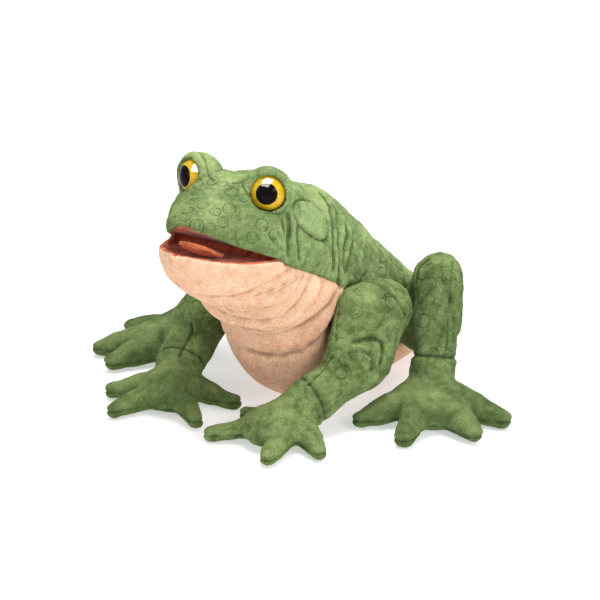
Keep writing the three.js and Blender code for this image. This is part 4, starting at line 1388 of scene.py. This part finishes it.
def plush(name, dark, middle, light, top_light_and_airbrush, top_light_and_airbrush_share, calm=0.16):
    """Short pile: mottled dye, painted shade in the hollows, a painted highlight on the ridges and a
    top-facing colour that is partly airbrush and partly painted light, with a fuzz that catches the light.
    """
    look = Look(name)
    where = look.column("rest", "Vector")
    cloud = look.noise(where, 13, 4.0, 0.65)
    blot = look.noise(where, 4.5, 4.0, 0.7)
    colour = look.ramp(cloud, (0.5 - calm, dark), (0.5, middle), (0.5 + calm, light))
    patch = look.ramp(blot, (0.5 - calm, dark), (0.5, middle), (0.5 + calm, light))
    colour = look.mix(0.5, colour, patch)
    # Darker where the darkening column says so: painted shade on the snout, darker dye on the paws, and darker
    # towards the belly and on the limbs.
    colour = look.mix(look.span(look.column("dye_and_shade"), 0, 2, 0, 0.7), colour, dark)
    # Top-facing surfaces turn towards the fourth colour: partly airbrushed dye, partly painted light from
    # above.
    up = look.span(look.column("up"), 0.1, 0.95)
    top_light_and_airbrush_mask = look.node("ShaderNodeMath", {"operation": "MULTIPLY"})
    look.give(top_light_and_airbrush_mask.inputs[0], up)
    look.give(top_light_and_airbrush_mask.inputs[1], look.span(look.noise(where, 30, 2.0), 0.42, 0.6, 0, top_light_and_airbrush_share))
    colour = look.mix(top_light_and_airbrush_mask.outputs[0], colour, top_light_and_airbrush)
    # Painted shade: the hollows of the relief column are darkened towards a third of the dark colour.
    hollow_shade = look.span(look.column("relief"), -0.9, 0.05, 0.62, 0)
    colour = look.mix(hollow_shade, colour, tuple(c * 0.3 for c in dark[:3]) + (1,))
    # Painted highlight: the ridges of the relief column are lightened towards the light colour.
    ridge_highlight = look.span(look.column("relief"), 0.1, 0.9, 0, 0.35)
    colour = look.mix(ridge_highlight, colour, light)
    nap = look.noise(where, 0.75, 3.0, 0.7)
    fleck = look.span(nap, 0.3, 0.7, 0.72, 1.28)
    colour = look.mix(1.0, colour, look.node(
        "ShaderNodeCombineColor", Red=fleck, Green=fleck, Blue=fleck).outputs[0], "MULTIPLY")
    coarse = look.noise(where, 2.2, 2.0)
    normal = look.bump(nap, 0.55, 0.0005)
    normal = look.bump(coarse, 0.35, 0.0008, normal)
    look.set(Base_Color=colour, Roughness=0.95, Normal=normal, Sheen_Weight=0.3,
             Sheen_Roughness=0.5, Sheen_Tint=light, Specular_IOR_Level=0.0)
    return look.material


def weave(name, dark, light, fine=0.45, sheen=0.2):
    """Closely woven cloth."""
    look = Look(name)
    where = look.column("rest", "Vector")
    thread = look.noise(where, fine, 3.0, 0.6)
    shade = look.noise(where, 9, 3.0, 0.6)
    colour = look.mix(look.span(shade, 0.35, 0.65), dark, light)
    grain = look.span(thread, 0.3, 0.7, 0.86, 1.12)
    colour = look.mix(1.0, colour, look.node(
        "ShaderNodeCombineColor", Red=grain, Green=grain, Blue=grain).outputs[0], "MULTIPLY")
    # Painted shade: the hollows of the relief column are darkened towards a third of the dark colour.
    hollow_shade = look.span(look.column("relief"), -0.9, 0.0, 0.7, 0)
    colour = look.mix(hollow_shade, colour, tuple(c * 0.35 for c in dark[:3]) + (1,))
    look.set(Base_Color=colour, Roughness=0.9, Normal=look.bump(thread, 0.3, 0.0004),
             Sheen_Weight=sheen, Sheen_Roughness=0.5, Specular_IOR_Level=0.0)
    return look.material


def object_noise(look, size, detail=2.0):
    place = look.node("ShaderNodeTexCoord").outputs["Object"]
    return look.noise(place, size, detail)


def make_looks():
    looks = {
        # The fourth colour of each plush goes on top-facing surfaces: partly airbrushed dye, partly painted
        # light from above.
        "plush": plush("frog_plush", linear(80, 98, 58), linear(114, 134, 86),
                       linear(148, 168, 114), linear(176, 188, 128), 0.25),
        "limb": plush("limb_plush", linear(60, 76, 44), linear(99, 117, 71),
                      linear(134, 152, 100), linear(160, 172, 112), 0.25, 0.17),
        "sole": plush("sole_plush", linear(66, 84, 46), linear(98, 118, 66),
                      linear(134, 152, 94), linear(150, 164, 104), 0.2),
        "peach": plush("belly_plush", linear(198, 140, 106), linear(224, 180, 150),
                       linear(238, 208, 182), linear(242, 218, 198), 0.5, 0.3),
        "mouth": weave("mouth_cloth", linear(170, 78, 46), linear(214, 116, 78)),
        "tongue": weave("tongue_cloth", linear(224, 122, 74), linear(244, 150, 98)),
        "lining": weave("sleeve_lining", linear(48, 66, 38), linear(66, 88, 52), 0.7),
    }
    fibre = Look("stuffing_fibre")
    tuft = object_noise(fibre, 3, 4.0)
    fibre.set(Base_Color=fibre.ramp(tuft, (0.3, linear(214, 210, 202)), (0.7, linear(250, 248, 244))),
              Roughness=0.95, Normal=fibre.bump(tuft, 0.8, 0.001), Sheen_Weight=0.3)
    looks["filling"] = fibre.material
    board = Look("mouth_board")
    grain = object_noise(board, 1.5, 3.0)
    board.set(Base_Color=board.ramp(grain, (0.3, linear(160, 138, 100)), (0.7, linear(190, 168, 126))),
              Roughness=0.8, Normal=board.bump(grain, 0.2, 0.0003))
    looks["board"] = board.material
    ring = Look("eye_washer")
    mould = object_noise(ring, 1.2, 2.0)
    ring.set(Base_Color=ring.ramp(mould, (0.3, linear(222, 222, 216)), (0.7, linear(238, 238, 232))),
             Roughness=0.42, Normal=ring.bump(mould, 0.08, 0.0002))
    looks["washer"] = ring.material
    iris = Look("eye_iris")
    rays = object_noise(iris, 1.4, 3.0)
    iris.set(Base_Color=iris.ramp(rays, (0.3, linear(184, 142, 18)), (0.7, linear(218, 180, 44))),
             Roughness=0.04, Specular_IOR_Level=0.35)
    looks["iris"] = iris.material
    pupil = Look("eye_pupil")
    depth = object_noise(pupil, 2.0, 1.0)
    pupil.set(Base_Color=pupil.ramp(depth, (0.3, linear(12, 8, 10)), (0.7, linear(20, 14, 16))),
              Roughness=0.03, Specular_IOR_Level=0.05)
    looks["pupil"] = pupil.material
    return looks


def keep_cad(node, material):
    """A rigid part that is shown as it was packed."""
    obj = bpy.data.objects[node]
    obj.data.materials.clear()
    obj.data.materials.append(material)


# ---------------------------------------------------------------- room, lights and camera
def area_light(name, at, toward, size, power, colour=(1, 1, 1), height=None):
    lamp = bpy.data.lights.new(name, "AREA")
    lamp.energy, lamp.color = power, colour
    lamp.shape = "RECTANGLE"
    lamp.size, lamp.size_y = size, height or size
    obj = bpy.data.objects.new(name, lamp)
    bpy.context.collection.objects.link(obj)
    obj.location = at
    obj.rotation_euler = (Vector(toward) - Vector(at)).to_track_quat("-Z", "Y").to_euler()
    return obj


CAMERA = {  # degrees, metres and mm
    "azimuth": 34.0, "elevation": 20.0, "distance": 3.0, "lens": 261.0, "sensor": 36.0,
    "shift": (-0.01552, 0.05586),
}


def make_room():
    mesh = bpy.data.meshes.new("floor")
    half, low = 6.0, -0.0004
    mesh.from_pydata([(-half, -half, low), (half, -half, low), (half, half, low),
                      (-half, half, low)], [], [(0, 1, 2, 3)])
    look = Look("white_floor")
    speck = object_noise(look, 400, 1.0)
    look.set(Base_Color=look.ramp(speck, (0.3, linear(204, 204, 204)), (0.7, linear(206, 206, 206))),
             Roughness=0.9, Specular_IOR_Level=0.0, Emission_Color=(1, 1, 1, 1),
             Emission_Strength=0.5)
    mesh.materials.append(look.material)
    floor = bpy.data.objects.new("floor", mesh)
    bpy.context.collection.objects.link(floor)

    world = bpy.data.worlds.new("studio")
    bpy.context.scene.world = world
    world.use_nodes = True
    world.node_tree.nodes["Background"].inputs["Color"].default_value = (1, 1, 1, 1)
    world.node_tree.nodes["Background"].inputs["Strength"].default_value = 0.5
    middle = (0, -0.03, 0.09)
    area_light("key", (0.15, -0.4, 1.5), middle, 0.5, 11)
    area_light("top", (0.1, 0.5, 2.4), middle, 2.2, 44)
    area_light("right", (1.5, -0.6, 0.9), middle, 0.6, 14)
    area_light("left", (-0.9, -1.4, 0.7), middle, 0.6, 3)
    # The window that the eyes mirror; it adds no light to the plush.
    window = area_light("window", (0.0, -0.62, 1.55), (0, -0.11, 0.17), 1.25, 700, height=1.5)
    window.visible_diffuse = False

    camera = bpy.data.objects.new("camera", bpy.data.cameras.new("camera"))
    bpy.context.collection.objects.link(camera)
    bpy.context.scene.camera = camera
    a, e = rad(CAMERA["azimuth"]), rad(CAMERA["elevation"])
    right = Vector((math.cos(a), math.sin(a), 0))
    back = Vector((math.sin(a) * math.cos(e), -math.cos(a) * math.cos(e), math.sin(e)))
    up = back.cross(right)
    side, lift = CAMERA["shift"]
    place = back * CAMERA["distance"] + right * side + up * lift
    camera.matrix_world = Matrix([
        [right[k], up[k], back[k], place[k]] for k in range(3)
    ] + [[0, 0, 0, 1]])
    camera.data.sensor_width, camera.data.lens = CAMERA["sensor"], CAMERA["lens"]
    camera.data.clip_end = 50
    bpy.context.scene.view_settings.view_transform = "Standard"


# ---------------------------------------------------------------- putting it together
looks = make_looks()
body_grid, body_fields = make_body(looks)
make_filling(body_grid, body_fields, looks)
for limb in PAWS:
    for which in SIDES:
        make_limb(limb, which, looks)
make_tongue(looks)
for which in SIDES:
    make_eye(which, looks)
    keep_cad(f"eye_washer_{which}", looks["washer"])
keep_cad("palate_board", looks["board"])
keep_cad("jaw_board", looks["board"])
make_room()
